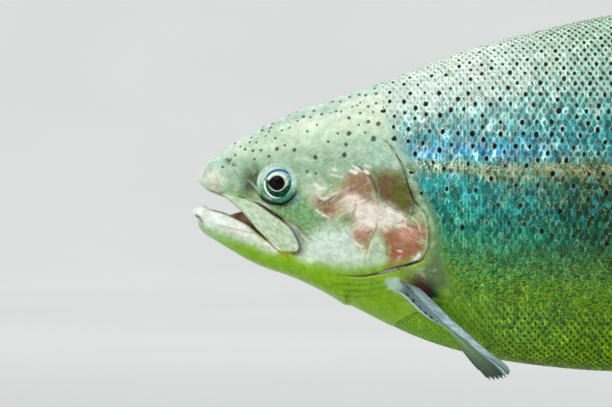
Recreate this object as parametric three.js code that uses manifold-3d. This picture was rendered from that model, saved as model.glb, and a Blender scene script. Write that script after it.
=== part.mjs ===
// A rainbow trout as a still, life-size museum model: a heavy adult in profile, mouth ajar, held over a
// flat base by two rods. Millimetres, +Z up. The head points along -X and the fish's left side faces -Y.
// The origin is the centre of the base's underside.
//
// The fish is drawn in its own frame: s runs back from the tip of the snout, y to the fish's right, and z
// up from the body's axis. Its proportions are percentages of the standard length, as in ichthyology.

import * as THREE from "three";
import { mergeVertices } from "three/addons/utils/BufferGeometryUtils.js";
import Module from "manifold-3d";

// Driving dimensions.
const STANDARD_LENGTH = 540; // tip of the snout to the root of the tail fin
const AXIS_HEIGHT = 175; // body axis above the floor
const BASE_LENGTH = 340;
const BASE_WIDTH = 160;
const BASE_THICKNESS = 16;
const ROD_DIAMETER = 8;
const GAP = 0.3; // between neighbouring solids

// Places along the fish, in percent of the standard length.
const ORIGIN_AT = 50; // over the middle of the base
const ROD_PLACES = { front: 39, rear: 67 };
const PARTINGS = { head: 18.1, front: 36, middle: 54, rear: 74, tail: 100.6 };

const percent = (value) => (value * STANDARD_LENGTH) / 100;

// ---------------------------------------------------------------------------------------------------
// Smooth curves through a few points, and the outlines drawn with them (percent of standard length).
// ---------------------------------------------------------------------------------------------------

function curve(points) {
  const last = points.length - 1;
  const slopes = points.map((_, i) => {
    const [x0, y0] = points[Math.max(i - 1, 0)];
    const [x1, y1] = points[Math.min(i + 1, last)];
    return (y1 - y0) / (x1 - x0);
  });
  return (x) => {
    if (x <= points[0][0]) return points[0][1];
    if (x >= points[last][0]) return points[last][1];
    const i = points.findIndex(([end]) => end > x) - 1;
    const [x0, y0] = points[i];
    const [x1, y1] = points[i + 1];
    const step = x1 - x0;
    const t = (x - x0) / step;
    const rise = slopes[i] * step;
    const fall = slopes[i + 1] * step;
    return (
      y0 +
      t * rise +
      t * t * (3 * (y1 - y0) - 2 * rise - fall) +
      t * t * t * (rise + fall - 2 * (y1 - y0))
    );
  };
}

// Back and belly, from the snout to the root of the tail fin.
const backLine = curve([
  [0, 2.55], [1.7, 3.75], [4, 5.25], [7.6, 7.0], [11.1, 8.25], [12.9, 8.85], [14.6, 9.45],
  [18.2, 10.85], [22.9, 12.6], [28.8, 14.15], [34.7, 15.4], [44.5, 16.5], [55.5, 15.5],
  [65, 12.9], [75, 9.5], [84, 6.8], [91, 5.4], [96, 5.0], [100, 5.3],
]);
const bellyLine = curve([
  [-0.5, -1.6], [0.4, -2.85], [1.6, -3.65], [4.9, -5.55], [8.3, -6.8], [12.3, -8.75],
  [17, -11.1], [20.5, -12.45], [25.2, -13.6], [30, -14.25], [34.7, -14.6], [44.5, -14.7],
  [55.5, -13.4], [65, -11.3], [75, -8.4], [84, -5.7], [91, -4.4], [96, -4.0], [100, -4.3],
]);
// Half the width at the widest line, and the height of that line.
const halfWidth = curve([
  [0, 1.95], [1.7, 2.35], [4, 2.8], [7.6, 3.6], [12.2, 4.8], [17.6, 5.7], [22, 6.5],
  [28, 7.4], [36, 8.1], [44.5, 8.3], [55.5, 7.5], [65, 6.1], [75, 4.4], [84, 3], [91, 2.1],
  [96, 1.6], [100, 0.95],
]);
const widestLine = curve([
  [0, 1.5], [3, 1.3], [7.6, 0.4], [12.2, -0.9], [17.6, -1.5], [26, -0.7], [36, 0], [60, 0.5], [100, 0.5],
]);
// The roof of the mouth, which runs down into the belly line behind the jaw joint.
const palateLine = curve([
  [0, 0.75], [1.2, 0.12], [2.4, 0.0], [4.2, -0.9], [6, -2.3], [8, -4.2], [10, -6.6], [12.3, -8.75],
]);
const PALATE_END = 12.3;
// The top of the lower jaw, and its half width.
const jawLine = curve([
  [-0.5, -0.85], [0.3, -0.75], [0.9, -0.95], [1.9, -1.35], [3.4, -1.85], [4.7, -2.8], [6.6, -3.9], [9.3, -5],
  [12.3, -7],
]);
const jawHalfWidth = curve([
  [-0.5, 1.15], [1, 1.6], [2.5, 2.05], [5, 2.5], [7.5, 2.85], [10, 3], [12.3, 2.8],
]);
// How square the cross-section is: 2 is an ellipse.
const ROUNDNESS = { back: 2.05, belly: 2.2, jaw: 2.3 };

const BODY = {
  start: 0,
  tip: 1.5, // length of the rounded tip
  top: backLine,
  bottom: (s) => (s < PALATE_END ? palateLine(s) : bellyLine(s)),
  half: halfWidth,
  middle: widestLine,
  upper: ROUNDNESS.back,
  lower: ROUNDNESS.belly,
};
const JAW = {
  start: -0.5,
  tip: 0.85,
  top: jawLine,
  bottom: bellyLine,
  half: jawHalfWidth,
  middle: (s) => 0.6 * jawLine(s) + 0.4 * bellyLine(s),
  upper: ROUNDNESS.jaw,
  lower: ROUNDNESS.jaw,
};
// The head as if the mouth were shut, which the maxillae lie on.
const SHUT_HEAD = { ...BODY, bottom: bellyLine };

// ---------------------------------------------------------------------------------------------------
// Solids
// ---------------------------------------------------------------------------------------------------

const wasm = await Module();
wasm.setup();

function solid(geometry) {
  const loose = geometry.index ? geometry.toNonIndexed() : geometry.clone();
  const bare = new THREE.BufferGeometry();
  bare.setAttribute("position", loose.getAttribute("position"));
  const merged = mergeVertices(bare, 1e-4);
  const mesh = new wasm.Mesh({
    numProp: 3,
    vertProperties: merged.attributes.position.array,
    triVerts: new Uint32Array(merged.index.array),
  });
  return new wasm.Manifold(mesh);
}

function geometryOf(manifold) {
  const { vertProperties, triVerts } = manifold.getMesh();
  const geometry = new THREE.BufferGeometry();
  geometry.setAttribute("position", new THREE.BufferAttribute(vertProperties, 3));
  geometry.setIndex(new THREE.BufferAttribute(triVerts, 1));
  geometry.computeVertexNormals();
  return geometry;
}

// Joins rings of points, each ring a closed loop, and closes both ends with a fan.
function skinOver(rings) {
  const positions = [];
  const triangle = (a, b, c) => positions.push(...a, ...b, ...c);
  const centre = (ring) => [0, 1, 2].map((k) => ring.reduce((sum, p) => sum + p[k], 0) / ring.length);
  const count = rings[0].length;
  for (let i = 0; i + 1 < rings.length; i++)
    for (let j = 0; j < count; j++) {
      const next = (j + 1) % count;
      triangle(rings[i][j], rings[i][next], rings[i + 1][j]);
      triangle(rings[i][next], rings[i + 1][next], rings[i + 1][j]);
    }
  const [front, back] = [rings[0], rings[rings.length - 1]];
  for (let j = 0; j < count; j++) {
    const next = (j + 1) % count;
    triangle(centre(front), front[next], front[j]);
    triangle(centre(back), back[j], back[next]);
  }
  const geometry = new THREE.BufferGeometry();
  geometry.setAttribute("position", new THREE.Float32BufferAttribute(positions, 3));
  return geometry;
}

// A point on the cross-section of a form at s, in percent; grow moves the surface out, in millimetres.
function sectionPoint(form, s, angle, grow) {
  const ahead = Math.max(0, 1 - (s - form.start) / form.tip);
  const rounding = Math.sqrt(Math.max(0, 1 - ahead * ahead));
  const middle = percent(form.middle(s));
  const reach = (line) => Math.abs(percent(line(s)) - middle) * rounding + grow;
  const across = Math.cos(angle);
  const up = Math.sin(angle);
  const height = up >= 0 ? reach(form.top) : reach(form.bottom);
  const width = percent(form.half(s)) * rounding + grow;
  const power = up >= 0 ? form.upper : form.lower;
  const radius = (Math.abs(across / width) ** power + Math.abs(up / height) ** power) ** (-1 / power);
  return [percent(s), radius * across, middle + radius * up];
}

const AROUND = 24; // points round a cross-section
const OUTLINE_STEPS = 24; // points along a side-view outline

function loft(form, from, to, steps, grow = 0) {
  const blunt = 0.02; // the first ring of a tip isn't a point
  const first = Math.max(from, form.start + blunt);
  const rings = [];
  for (let i = 0; i <= steps; i++) {
    // Rings crowd towards a rounded tip.
    const t = from <= form.start ? (i / steps) ** 1.6 : i / steps;
    const s = first + (to - first) * t;
    const ring = [];
    for (let j = 0; j < AROUND; j++) {
      ring.push(sectionPoint(form, s, (2 * Math.PI * j) / AROUND, grow));
    }
    rings.push(ring);
  }
  return solid(skinOver(rings));
}

// A side-view outline, in percent, extruded across the fish between two values of y. The corners run
// clockwise as seen from the fish's left side, and grow moves the outline out, in millimetres.
function sidePrism(points, yFrom, yTo, grow = 0) {
  const corners = points.map(([s, z]) => new THREE.Vector2(percent(s), percent(z)));
  const outline = new THREE.SplineCurve([...corners, corners[0]]).getPoints(OUTLINE_STEPS);
  outline.pop();
  const count = outline.length;
  const moved = outline.map((point, i) => {
    const along = outline[(i + 1) % count].clone().sub(outline[(i + count - 1) % count]);
    return point.clone().add(new THREE.Vector2(-along.y, along.x).setLength(grow));
  });
  const geometry = new THREE.ExtrudeGeometry(new THREE.Shape(moved), {
    depth: yTo - yFrom,
    bevelEnabled: false,
  });
  geometry.rotateX(Math.PI / 2);
  geometry.translate(0, yTo, 0);
  return solid(geometry);
}

// A closed thin body over surface(u, v), with half its thickness given by half(u, v).
function plate(surface, half, columns, rows) {
  const nudge = 1e-3;
  const side = (sign) => (u, v) => {
    const du = surface(Math.min(u + nudge, 1), v).sub(surface(Math.max(u - nudge, 0), v));
    const dv = surface(u, Math.min(v + nudge, 1)).sub(surface(u, Math.max(v - nudge, 0)));
    const normal = du.cross(dv).normalize();
    return surface(u, v).addScaledVector(normal, sign * half(u, v)).toArray();
  };
  const rings = [];
  for (let j = 0; j <= rows; j++) {
    const v = j / rows;
    const ring = [];
    for (let i = 0; i <= columns; i++) ring.push(side(1)(i / columns, v));
    for (let i = columns; i >= 0; i--) ring.push(side(-1)(i / columns, v));
    rings.push(ring);
  }
  const made = solid(skinOver(rings));
  return made.volume() < 0 ? solid(skinOver(rings.reverse())) : made;
}

function ellipsoid([s, y, z], [rs, ry, rz], grow = 0) {
  const geometry = new THREE.SphereGeometry(1, 14, 9);
  geometry.scale(percent(rs) + grow, percent(ry) + grow, percent(rz) + grow);
  geometry.translate(percent(s), percent(y), percent(z));
  return solid(geometry);
}

// ---------------------------------------------------------------------------------------------------
// Materials and nodes
// ---------------------------------------------------------------------------------------------------

const material = (color, roughness, metalness = 0) =>
  new THREE.MeshStandardMaterial({ color, roughness, metalness });
const SKIN = material(0xa9bfa0, 0.35, 0.1);
const BACK_SKIN = material(0x8fa9a0, 0.35, 0.1);
const GILL_SKIN = material(0xb98f7c, 0.3, 0.1);
const JAW_SKIN = material(0xc4cf9a, 0.35);
const FIN_SKIN = material(0x6f8472, 0.45);
const MOUTH_SKIN = material(0x8a5a48, 0.5);
const EYE = material(0x2f6b5c, 0.1);
const BASE_WOOD = material(0x3a2a20, 0.45);
const STEEL = material(0xb9bcc0, 0.3, 1);

const model = new THREE.Group();
const fish = new THREE.Group();
fish.position.set(-percent(ORIGIN_AT), 0, AXIS_HEIGHT);
model.add(fish);

function addTo(group, name, manifold, finish) {
  const mesh = new THREE.Mesh(geometryOf(manifold), finish);
  mesh.name = name;
  group.add(mesh);
  return mesh;
}

// The left one as drawn, and the right one mirrored across the middle of the body.
function addPair(name, manifold, finish) {
  addTo(fish, `${name}_left`, manifold, finish);
  addTo(fish, `${name}_right`, manifold, finish).scale.y = -1;
}

// ---------------------------------------------------------------------------------------------------
// Head
// ---------------------------------------------------------------------------------------------------

const OUTSIDE = -percent(15); // beyond the fish's left side

const EYE_CENTRE = [6.68, -2.72, 1.24];
const EYE_RADII = [1.62, 1.42, 1.68];
const leftEye = ellipsoid(EYE_CENTRE, EYE_RADII);
const mirrored = (manifold) => manifold.scale([1, -1, 1]);
const bothSides = (manifold) => manifold.add(mirrored(manifold));
const eyeSockets = bothSides(ellipsoid(EYE_CENTRE, EYE_RADII, GAP));

// The maxilla: a narrow plate that hangs from the snout and covers the corner of the mouth.
const MAXILLA_OUTLINE = [
  [2.3, 0.6], [3.6, -0.05], [4.95, -0.7], [6.2, -1.5], [7.3, -2.35], [8.1, -3.2], [8.65, -4],
  [8.1, -4.6], [6.8, -4.4], [5.7, -3.4], [4.5, -2.2], [3.3, -1],
];
const MAXILLA_PROUD = 0.9;
const MAXILLA_DEPTH = 2.2;
const shutHead = (grow) => loft(SHUT_HEAD, 0, 14, 10, grow);
function maxillaSpace(outer, inner, grow) {
  const rind = shutHead(outer).subtract(shutHead(-inner));
  return rind.intersect(sidePrism(MAXILLA_OUTLINE, OUTSIDE, -1, grow));
}
const leftMaxilla = maxillaSpace(MAXILLA_PROUD, MAXILLA_DEPTH, 0);
const maxillaPockets = bothSides(maxillaSpace(MAXILLA_PROUD * 3, MAXILLA_DEPTH + GAP, GAP));

// The gill cover: a curved plate behind the cheek, standing a little proud of the body behind it.
const GILL_COVER_OUTLINE = [
  [13.55, 2.5], [15.3, 4.7], [16.65, 3.2], [17.5, 0.75], [18.9, -1.55], [19.1, -2.8], [18.8, -4.6],
  [17.6, -5.3], [15.35, -6.1], [13.6, -6.4], [13.95, -5.3], [14.8, -2.6], [15, -1], [14.8, 0.75],
];
const GILL_COVER_PROUD = 1.2;
const GILL_COVER_DEPTH = 2.6;
const throatAndNape = (grow) => loft(BODY, 11.5, 22, 12, grow);
function gillCoverSpace(outer, inner, grow) {
  const rind = throatAndNape(outer).subtract(throatAndNape(-inner));
  return rind.intersect(sidePrism(GILL_COVER_OUTLINE, OUTSIDE, -1, grow));
}
const leftGillCover = gillCoverSpace(GILL_COVER_PROUD, GILL_COVER_DEPTH, 0);
const gillPockets = bothSides(gillCoverSpace(GILL_COVER_PROUD * 3, GILL_COVER_DEPTH + GAP, GAP));

const headForm = (grow) => loft(BODY, 0, PARTINGS.head, 20, grow);
const head = headForm(0).subtract(eyeSockets).subtract(maxillaPockets).subtract(gillPockets);

// The lower jaw is a trough under the mouth, with the tongue lying in it.
const TROUGH = { centre: [5.4, 0, -1.9], radii: [4.3, 1.75, 1.15] };
const TONGUE = { centre: [5.9, 0, -2.35], radii: [3.3, 1.2, 0.55] };
const jawForm = loft(JAW, JAW.start, PALATE_END, 14);
const lowerJaw = jawForm
  .subtract(ellipsoid(TROUGH.centre, TROUGH.radii))
  .subtract(headForm(GAP))
  .subtract(maxillaPockets);
const tongue = ellipsoid(TONGUE.centre, TONGUE.radii)
  .subtract(headForm(GAP))
  .subtract(jawForm.subtract(ellipsoid(TROUGH.centre, TROUGH.radii, -GAP)));

addTo(fish, "head", head, SKIN);
addTo(fish, "jaw_lower", lowerJaw, JAW_SKIN);
addTo(fish, "tongue", tongue, MOUTH_SKIN);
addPair("maxilla", leftMaxilla, SKIN);
addPair("gill_cover", leftGillCover, GILL_SKIN);
addPair("eye", leftEye, EYE);

// ---------------------------------------------------------------------------------------------------
// Trunk and tail
// ---------------------------------------------------------------------------------------------------

const gapShare = (100 * GAP) / STANDARD_LENGTH;
function trunkLength(name, from, to, steps) {
  const made = loft(BODY, from + gapShare, to, steps).subtract(gillPockets);
  addTo(fish, name, made, BACK_SKIN);
}
trunkLength("trunk_front", PARTINGS.head, PARTINGS.front, 8);
trunkLength("trunk_middle", PARTINGS.front, PARTINGS.middle, 6);
trunkLength("trunk_rear", PARTINGS.middle, PARTINGS.rear, 7);
trunkLength("tail", PARTINGS.rear, PARTINGS.tail, 10);

// ---------------------------------------------------------------------------------------------------
// Fins
// ---------------------------------------------------------------------------------------------------

const bodyWithGap = loft(BODY, 0, PARTINGS.tail, 60, GAP);

// A fin in the middle plane. Its rays stand on a root line and fan out, u running from the first to the
// last; their slopes are in degrees, their lengths give the margin, and sweep bends them back.
function medianFin({ root, slopes, lengths, sweep, rootHalf, edgeHalf, columns, rows }) {
  const length = curve(lengths);
  const surface = (u, v) => {
    const slope = THREE.MathUtils.degToRad(slopes[0] + (slopes[1] - slopes[0]) * u - sweep * v);
    const reach = percent(length(u)) * v;
    const s = percent(THREE.MathUtils.lerp(root[0][0], root[1][0], u));
    const z = percent(THREE.MathUtils.lerp(root[0][1], root[1][1], u));
    return new THREE.Vector3(s + reach * Math.cos(slope), 0, z + reach * Math.sin(slope));
  };
  const half = (u, v) => THREE.MathUtils.lerp(rootHalf, edgeHalf, v);
  return plate(surface, half, columns, rows).subtract(bodyWithGap);
}

const DORSAL_FIN = {
  root: [[47.5, 15.6], [60.5, 13.4]],
  slopes: [56, 34],
  lengths: [[0, 3.5], [0.08, 9], [0.16, 12.4], [0.25, 12.2], [0.5, 9.6], [0.75, 7.7], [0.94, 6.9], [1, 6]],
  sweep: 10,
  rootHalf: 1.5,
  edgeHalf: 0.35,
  columns: 16,
  rows: 3,
};
const ADIPOSE_FIN = {
  root: [[83.2, 6.2], [85.6, 5.6]],
  slopes: [48, 20],
  lengths: [[0, 3.4], [0.3, 4.6], [0.6, 4.8], [1, 3.2]],
  sweep: 14,
  rootHalf: 2.2,
  edgeHalf: 0.8,
  columns: 6,
  rows: 5,
};
const ANAL_FIN = {
  root: [[73.5, -7.9], [83.2, -5.1]],
  slopes: [-60, -28],
  lengths: [[0, 2.6], [0.09, 7], [0.18, 9.8], [0.28, 9.5], [0.55, 7], [0.8, 5.6], [0.95, 5.1], [1, 4.2]],
  sweep: -10,
  rootHalf: 1.4,
  edgeHalf: 0.35,
  columns: 14,
  rows: 3,
};
const TAIL_FIN = {
  root: [[100.3, 5], [100.3, -4]],
  slopes: [31, -31],
  lengths: [
    [0, 10], [0.05, 13.8], [0.1, 14.8], [0.18, 14.4], [0.34, 12.6], [0.5, 11.8],
    [0.66, 12.5], [0.82, 14.2], [0.9, 14.6], [0.95, 13.6], [1, 9.8],
  ],
  sweep: 0,
  rootHalf: 2.4,
  edgeHalf: 0.4,
  columns: 24,
  rows: 3,
};
addTo(fish, "fin_dorsal", medianFin(DORSAL_FIN), FIN_SKIN);
addTo(fish, "fin_adipose", medianFin(ADIPOSE_FIN), FIN_SKIN);
addTo(fish, "fin_anal", medianFin(ANAL_FIN), FIN_SKIN);
addTo(fish, "fin_tail", medianFin(TAIL_FIN), FIN_SKIN);

// A paired fin: a sheet stretched between a leading and a trailing edge, each a curve through three
// points in percent, and cut across by a rounded tip.
function pairedFin({ lead, trail, tipRounding, rootHalf, edgeHalf, columns, rows }) {
  const edge = (points) =>
    new THREE.QuadraticBezierCurve3(...points.map((p) => new THREE.Vector3(...p.map(percent))));
  const [leading, trailing] = [edge(lead), edge(trail)];
  const surface = (u, v) => {
    const along = v * (1 + tipRounding * Math.sin(Math.PI * u) - tipRounding);
    return leading.getPoint(along).lerp(trailing.getPoint(along), u);
  };
  const half = (u, v) => (rootHalf + (edgeHalf - rootHalf) * v) * (1.25 - 0.6 * u);
  return plate(surface, half, columns, rows).subtract(bodyWithGap);
}

const PECTORAL_FIN = {
  lead: [[16.5, -4.2, -7.2], [21.6, -7.2, -10.1], [25.7, -8.9, -14.2]],
  trail: [[16.9, -3.6, -7.9], [20.7, -4.9, -10.8], [23.9, -5.9, -14.9]],
  tipRounding: 0.06,
  rootHalf: 2.4,
  edgeHalf: 0.35,
  columns: 8,
  rows: 6,
};
const PELVIC_FIN = {
  lead: [[53.4, -2.9, -12.9], [57, -4.9, -15.3], [61.3, -5.7, -17.6]],
  trail: [[56.2, -1.7, -12.9], [58, -2.3, -14.1], [60.6, -2.5, -15.4]],
  tipRounding: 0.08,
  rootHalf: 1.8,
  edgeHalf: 0.35,
  columns: 8,
  rows: 6,
};
addPair("fin_pectoral", pairedFin(PECTORAL_FIN), FIN_SKIN);
addPair("fin_pelvic", pairedFin(PELVIC_FIN), FIN_SKIN);

// ---------------------------------------------------------------------------------------------------
// Stand
// ---------------------------------------------------------------------------------------------------

// A flat base with round corners and a chamfered top edge.
function standBase() {
  const corner = 18;
  const chamfer = 2;
  const shape = new THREE.Shape();
  const [x, y] = [BASE_LENGTH / 2 - chamfer, BASE_WIDTH / 2 - chamfer];
  shape.moveTo(corner - x, -y);
  shape.lineTo(x - corner, -y);
  shape.absarc(x - corner, corner - y, corner, -Math.PI / 2, 0);
  shape.absarc(x - corner, y - corner, corner, 0, Math.PI / 2);
  shape.absarc(corner - x, y - corner, corner, Math.PI / 2, Math.PI);
  shape.absarc(corner - x, corner - y, corner, Math.PI, 1.5 * Math.PI);
  const geometry = new THREE.ExtrudeGeometry(shape, {
    depth: BASE_THICKNESS - 2 * chamfer,
    bevelThickness: chamfer,
    bevelSize: chamfer,
    bevelSegments: 1,
    curveSegments: 5,
  });
  geometry.translate(0, 0, chamfer);
  return solid(geometry);
}

// A rod from just above the base up to the belly, cut to the belly's curve.
function standRod(place) {
  const foot = BASE_THICKNESS + GAP - AXIS_HEIGHT;
  const top = percent(bellyLine(place)) + ROD_DIAMETER;
  const geometry = new THREE.CylinderGeometry(ROD_DIAMETER / 2, ROD_DIAMETER / 2, top - foot, 20);
  geometry.rotateX(Math.PI / 2);
  geometry.translate(percent(place), 0, (top + foot) / 2);
  return solid(geometry).subtract(bodyWithGap);
}

addTo(model, "stand_base", standBase(), BASE_WOOD);
addTo(fish, "stand_rod_front", standRod(ROD_PLACES.front), STEEL);
addTo(fish, "stand_rod_rear", standRod(ROD_PLACES.rear), STEEL);

export default model;
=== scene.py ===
"""A life-size museum model of a rainbow trout: one skin, a coat of scales, rayed fins, eyes and a stand.

The fish is drawn in its own frame, in millimetres: s runs back from the tip of the snout, y to the fish's
right and z up from the body's axis. Its proportions are in percent of the standard length. world() turns
that frame into the model's, in metres.
"""

import math
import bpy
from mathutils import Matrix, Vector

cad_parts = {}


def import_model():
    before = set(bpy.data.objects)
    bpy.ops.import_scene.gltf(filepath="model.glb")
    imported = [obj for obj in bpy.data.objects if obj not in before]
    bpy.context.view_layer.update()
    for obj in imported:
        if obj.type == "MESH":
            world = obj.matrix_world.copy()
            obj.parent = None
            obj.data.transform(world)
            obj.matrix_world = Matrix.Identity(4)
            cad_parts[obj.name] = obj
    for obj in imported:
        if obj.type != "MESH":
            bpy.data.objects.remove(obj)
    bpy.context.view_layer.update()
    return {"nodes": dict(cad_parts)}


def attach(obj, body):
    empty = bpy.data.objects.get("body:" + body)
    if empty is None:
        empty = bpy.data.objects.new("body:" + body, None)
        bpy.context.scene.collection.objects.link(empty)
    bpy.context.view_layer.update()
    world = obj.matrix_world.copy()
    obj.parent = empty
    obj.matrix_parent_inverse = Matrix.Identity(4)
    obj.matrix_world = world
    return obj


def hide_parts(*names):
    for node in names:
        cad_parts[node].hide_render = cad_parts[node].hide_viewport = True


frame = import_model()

from types import SimpleNamespace

import bpy
import numpy as np
from mathutils.kdtree import KDTree

# ---------------------------------------------------------------------------------------------------
# Sizes
# ---------------------------------------------------------------------------------------------------

STANDARD_LENGTH = 540.0  # tip of the snout to the root of the tail fin, mm
AXIS_HEIGHT = 175.0  # body axis above the floor, mm
ORIGIN_AT = 50.0  # percent of the standard length over the middle of the stand
PERCENT = STANDARD_LENGTH / 100
SKIN_DEPTH = 0.42  # how far the skin lies inside the tips of the scales, mm


def world(points):
    """The model's frame, in metres, from the fish's, in millimetres."""
    offset = np.array([-ORIGIN_AT * PERCENT, 0, AXIS_HEIGHT])
    return (np.asarray(points) + offset) / 1000


def curve(points):
    """A smooth curve through points, flat beyond its ends. The same one draws the solids."""
    x, y = np.array(points, float).T
    slopes = np.empty_like(y)
    slopes[1:-1] = (y[2:] - y[:-2]) / (x[2:] - x[:-2])
    slopes[0] = (y[1] - y[0]) / (x[1] - x[0])
    slopes[-1] = (y[-1] - y[-2]) / (x[-1] - x[-2])

    def at(value):
        value = np.clip(value, x[0], x[-1])
        i = np.clip(np.searchsorted(x, value, side="right") - 1, 0, len(x) - 2)
        step = x[i + 1] - x[i]
        t = (value - x[i]) / step
        rise, fall, climb = slopes[i] * step, slopes[i + 1] * step, y[i + 1] - y[i]
        return y[i] + t * (rise + t * (3 * climb - 2 * rise - fall + t * (rise + fall - 2 * climb)))

    return at


# Outlines in percent of the standard length, as in the solids.
back_line = curve([
    (0, 2.55), (1.7, 3.75), (4, 5.25), (7.6, 7.0), (11.1, 8.25), (12.9, 8.85), (14.6, 9.45),
    (18.2, 10.85), (22.9, 12.6), (28.8, 14.15), (34.7, 15.4), (44.5, 16.5), (55.5, 15.5),
    (65, 12.9), (75, 9.5), (84, 6.8), (91, 5.4), (96, 5.0), (100, 5.3),
])
belly_line = curve([
    (-0.5, -1.6), (0.4, -2.85), (1.6, -3.65), (4.9, -5.55), (8.3, -6.8), (12.3, -8.75),
    (17, -11.1), (20.5, -12.45), (25.2, -13.6), (30, -14.25), (34.7, -14.6), (44.5, -14.7),
    (55.5, -13.4), (65, -11.3), (75, -8.4), (84, -5.7), (91, -4.4), (96, -4.0), (100, -4.3),
])
half_width = curve([
    (0, 1.95), (1.7, 2.35), (4, 2.8), (7.6, 3.6), (12.2, 4.8), (17.6, 5.7), (22, 6.5),
    (28, 7.4), (36, 8.1), (44.5, 8.3), (55.5, 7.5), (65, 6.1), (75, 4.4), (84, 3), (91, 2.1),
    (96, 1.6), (100, 0.95),
])
widest_line = curve([
    (0, 1.5), (3, 1.3), (7.6, 0.4), (12.2, -0.9), (17.6, -1.5), (26, -0.7), (36, 0), (60, 0.5), (100, 0.5),
])
palate_line = curve([
    (0, 0.95), (0.6, 0.62), (1.6, 0.26), (2.4, 0.0), (4.2, -0.9), (6, -2.3), (8, -4.2), (10, -6.6),
    (12.3, -8.75),
])
PALATE_END = 12.3
jaw_line = curve([
    (-0.5, -0.85), (0.3, -0.72), (0.95, -0.9), (2.3, -1.22), (3.4, -1.68), (4.3, -2.15), (5.0, -2.75),
    (6.6, -3.8), (9.3, -5), (12.3, -7),
])
jaw_half_width = curve([
    (-0.5, 1.15), (1, 1.6), (2.5, 2.05), (5, 2.5), (7.5, 2.85), (10, 3), (12.3, 2.8),
])
lateral_line = curve([(16, 2.9), (19, 2.45), (24, 2.15), (36, 1.9), (60, 1.2), (80, 0.8), (101, 0.5)])


def roof_of_mouth(s):
    return np.where(s < PALATE_END, palate_line(s), belly_line(s))


BODY = SimpleNamespace(
    start=0, tip=1.5, top=back_line, bottom=roof_of_mouth, half=half_width, middle=widest_line,
    upper=2.05, lower=2.2,
)
JAW_END = 12.3


def under_jaw(s):
    return belly_line(np.minimum(s, JAW_END))


JAW = SimpleNamespace(
    start=-0.5, tip=0.85, top=jaw_line, bottom=under_jaw, half=jaw_half_width,
    middle=lambda s: 0.6 * jaw_line(s) + 0.4 * under_jaw(s), upper=4.5, lower=2.3,
)
SHUT_HEAD = SimpleNamespace(**{**vars(BODY), "bottom": belly_line})
TAIL_END = 100.6


def bilinear(table, rows, columns):
    """A table's value at fractional rows and columns, which are its last two axes."""
    rows = np.clip(rows, 0, table.shape[-2] - 1.001)
    columns = np.clip(columns, 0, table.shape[-1] - 1.001)
    i, j = rows.astype(int), columns.astype(int)
    u, v = rows - i, columns - j
    low = table[..., i, j] * (1 - v) + table[..., i, j + 1] * v
    high = table[..., i + 1, j] * (1 - v) + table[..., i + 1, j + 1] * v
    return low * (1 - u) + high * u


# ---------------------------------------------------------------------------------------------------
# The skin's shape, as a signed distance in millimetres
# ---------------------------------------------------------------------------------------------------


def smooth_step(low, high, value):
    t = np.clip((value - low) / (high - low), 0, 1)
    return t * t * (3 - 2 * t)


def soft_union(a, b, width):
    share = np.clip(0.5 + 0.5 * (b - a) / width, 0, 1)
    return b + (a - b) * share - width * share * (1 - share)


def soft_cut(a, b, width):
    """a without b."""
    return -soft_union(-a, b, width)


def bump(s, z, centre, size, turn=0.0):
    """A round hill of height 1 in the side view, from percent, with its half-widths in percent."""
    ds, dz = s - centre[0] * PERCENT, z - centre[1] * PERCENT
    c, n = math.cos(turn), math.sin(turn)
    along, across = (ds * c + dz * n) / (size[0] * PERCENT), (dz * c - ds * n) / (size[1] * PERCENT)
    return np.exp(-(along * along + across * across))


def drawn(points, steps=5):
    """A smooth open line in the side view through points in percent, in millimetres."""
    points = np.array(points, float)
    knots = np.arange(len(points))
    t = np.linspace(0, len(points) - 1, steps * (len(points) - 1) + 1)
    ahead, up = curve(np.c_[knots, points[:, 0]]), curve(np.c_[knots, points[:, 1]])
    return np.c_[ahead(t), up(t)] * PERCENT


def to_line(line, s, z):
    """Distance to a line in the side view, positive to its left, and the share of it passed."""
    s, z = np.broadcast_arrays(s, z)
    best = np.full(s.shape, 1e9)
    side = np.ones(s.shape)
    passed = np.zeros(s.shape)
    count = len(line) - 1
    for i, (a, b) in enumerate(zip(line[:-1], line[1:])):
        step = b - a
        t = np.clip(((s - a[0]) * step[0] + (z - a[1]) * step[1]) / (step @ step), 0, 1)
        ds, dz = s - a[0] - t * step[0], z - a[1] - t * step[1]
        gap = ds * ds + dz * dz
        near = gap < best
        best = np.where(near, gap, best)
        side = np.where(near, np.sign(step[0] * dz - step[1] * ds + 1e-12), side)
        passed = np.where(near, (i + t) / count, passed)
    return np.sqrt(best) * side, passed


def to_outline(line, s, z):
    """Signed distance to a closed line in the side view, negative inside."""
    gap, _ = to_line(line, s, z)
    s, z = np.broadcast_arrays(s, z)
    inside = np.zeros(s.shape, bool)
    for a, b in zip(line[:-1], line[1:]):
        crosses = (a[1] > z) != (b[1] > z)
        at = a[0] + (z - a[1]) * (b[0] - a[0]) / (b[1] - a[1] + 1e-12)
        inside ^= crosses & (s < at)
    return np.where(inside, -np.abs(gap), np.abs(gap))


def section_radius(form, s, y, z):
    """1 on a form's surface and less inside it, from millimetres."""
    s, y, z = s / PERCENT, y / PERCENT, z / PERCENT
    middle = form.middle(s)
    up = z >= middle
    reach = np.where(up, form.top(s) - middle, middle - form.bottom(s))
    power = np.where(up, form.upper, form.lower)
    ring = ((np.abs(y) / form.half(s)) ** power + (np.abs(z - middle) / reach) ** power) ** (1 / power)
    ahead = np.maximum(0, (form.start + form.tip - s) / form.tip)
    return np.hypot(ring, ahead)


def form_distance(form, s, y, z):
    nudge = 0.1
    radius = section_radius(form, s, y, z)
    slope = np.sqrt(
        (section_radius(form, s + nudge, y, z) - radius) ** 2
        + (section_radius(form, s, y + nudge, z) - radius) ** 2
        + (section_radius(form, s, y, z + nudge) - radius) ** 2
    ) / nudge
    return (radius - 1) / np.maximum(slope, 1e-3)


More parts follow.
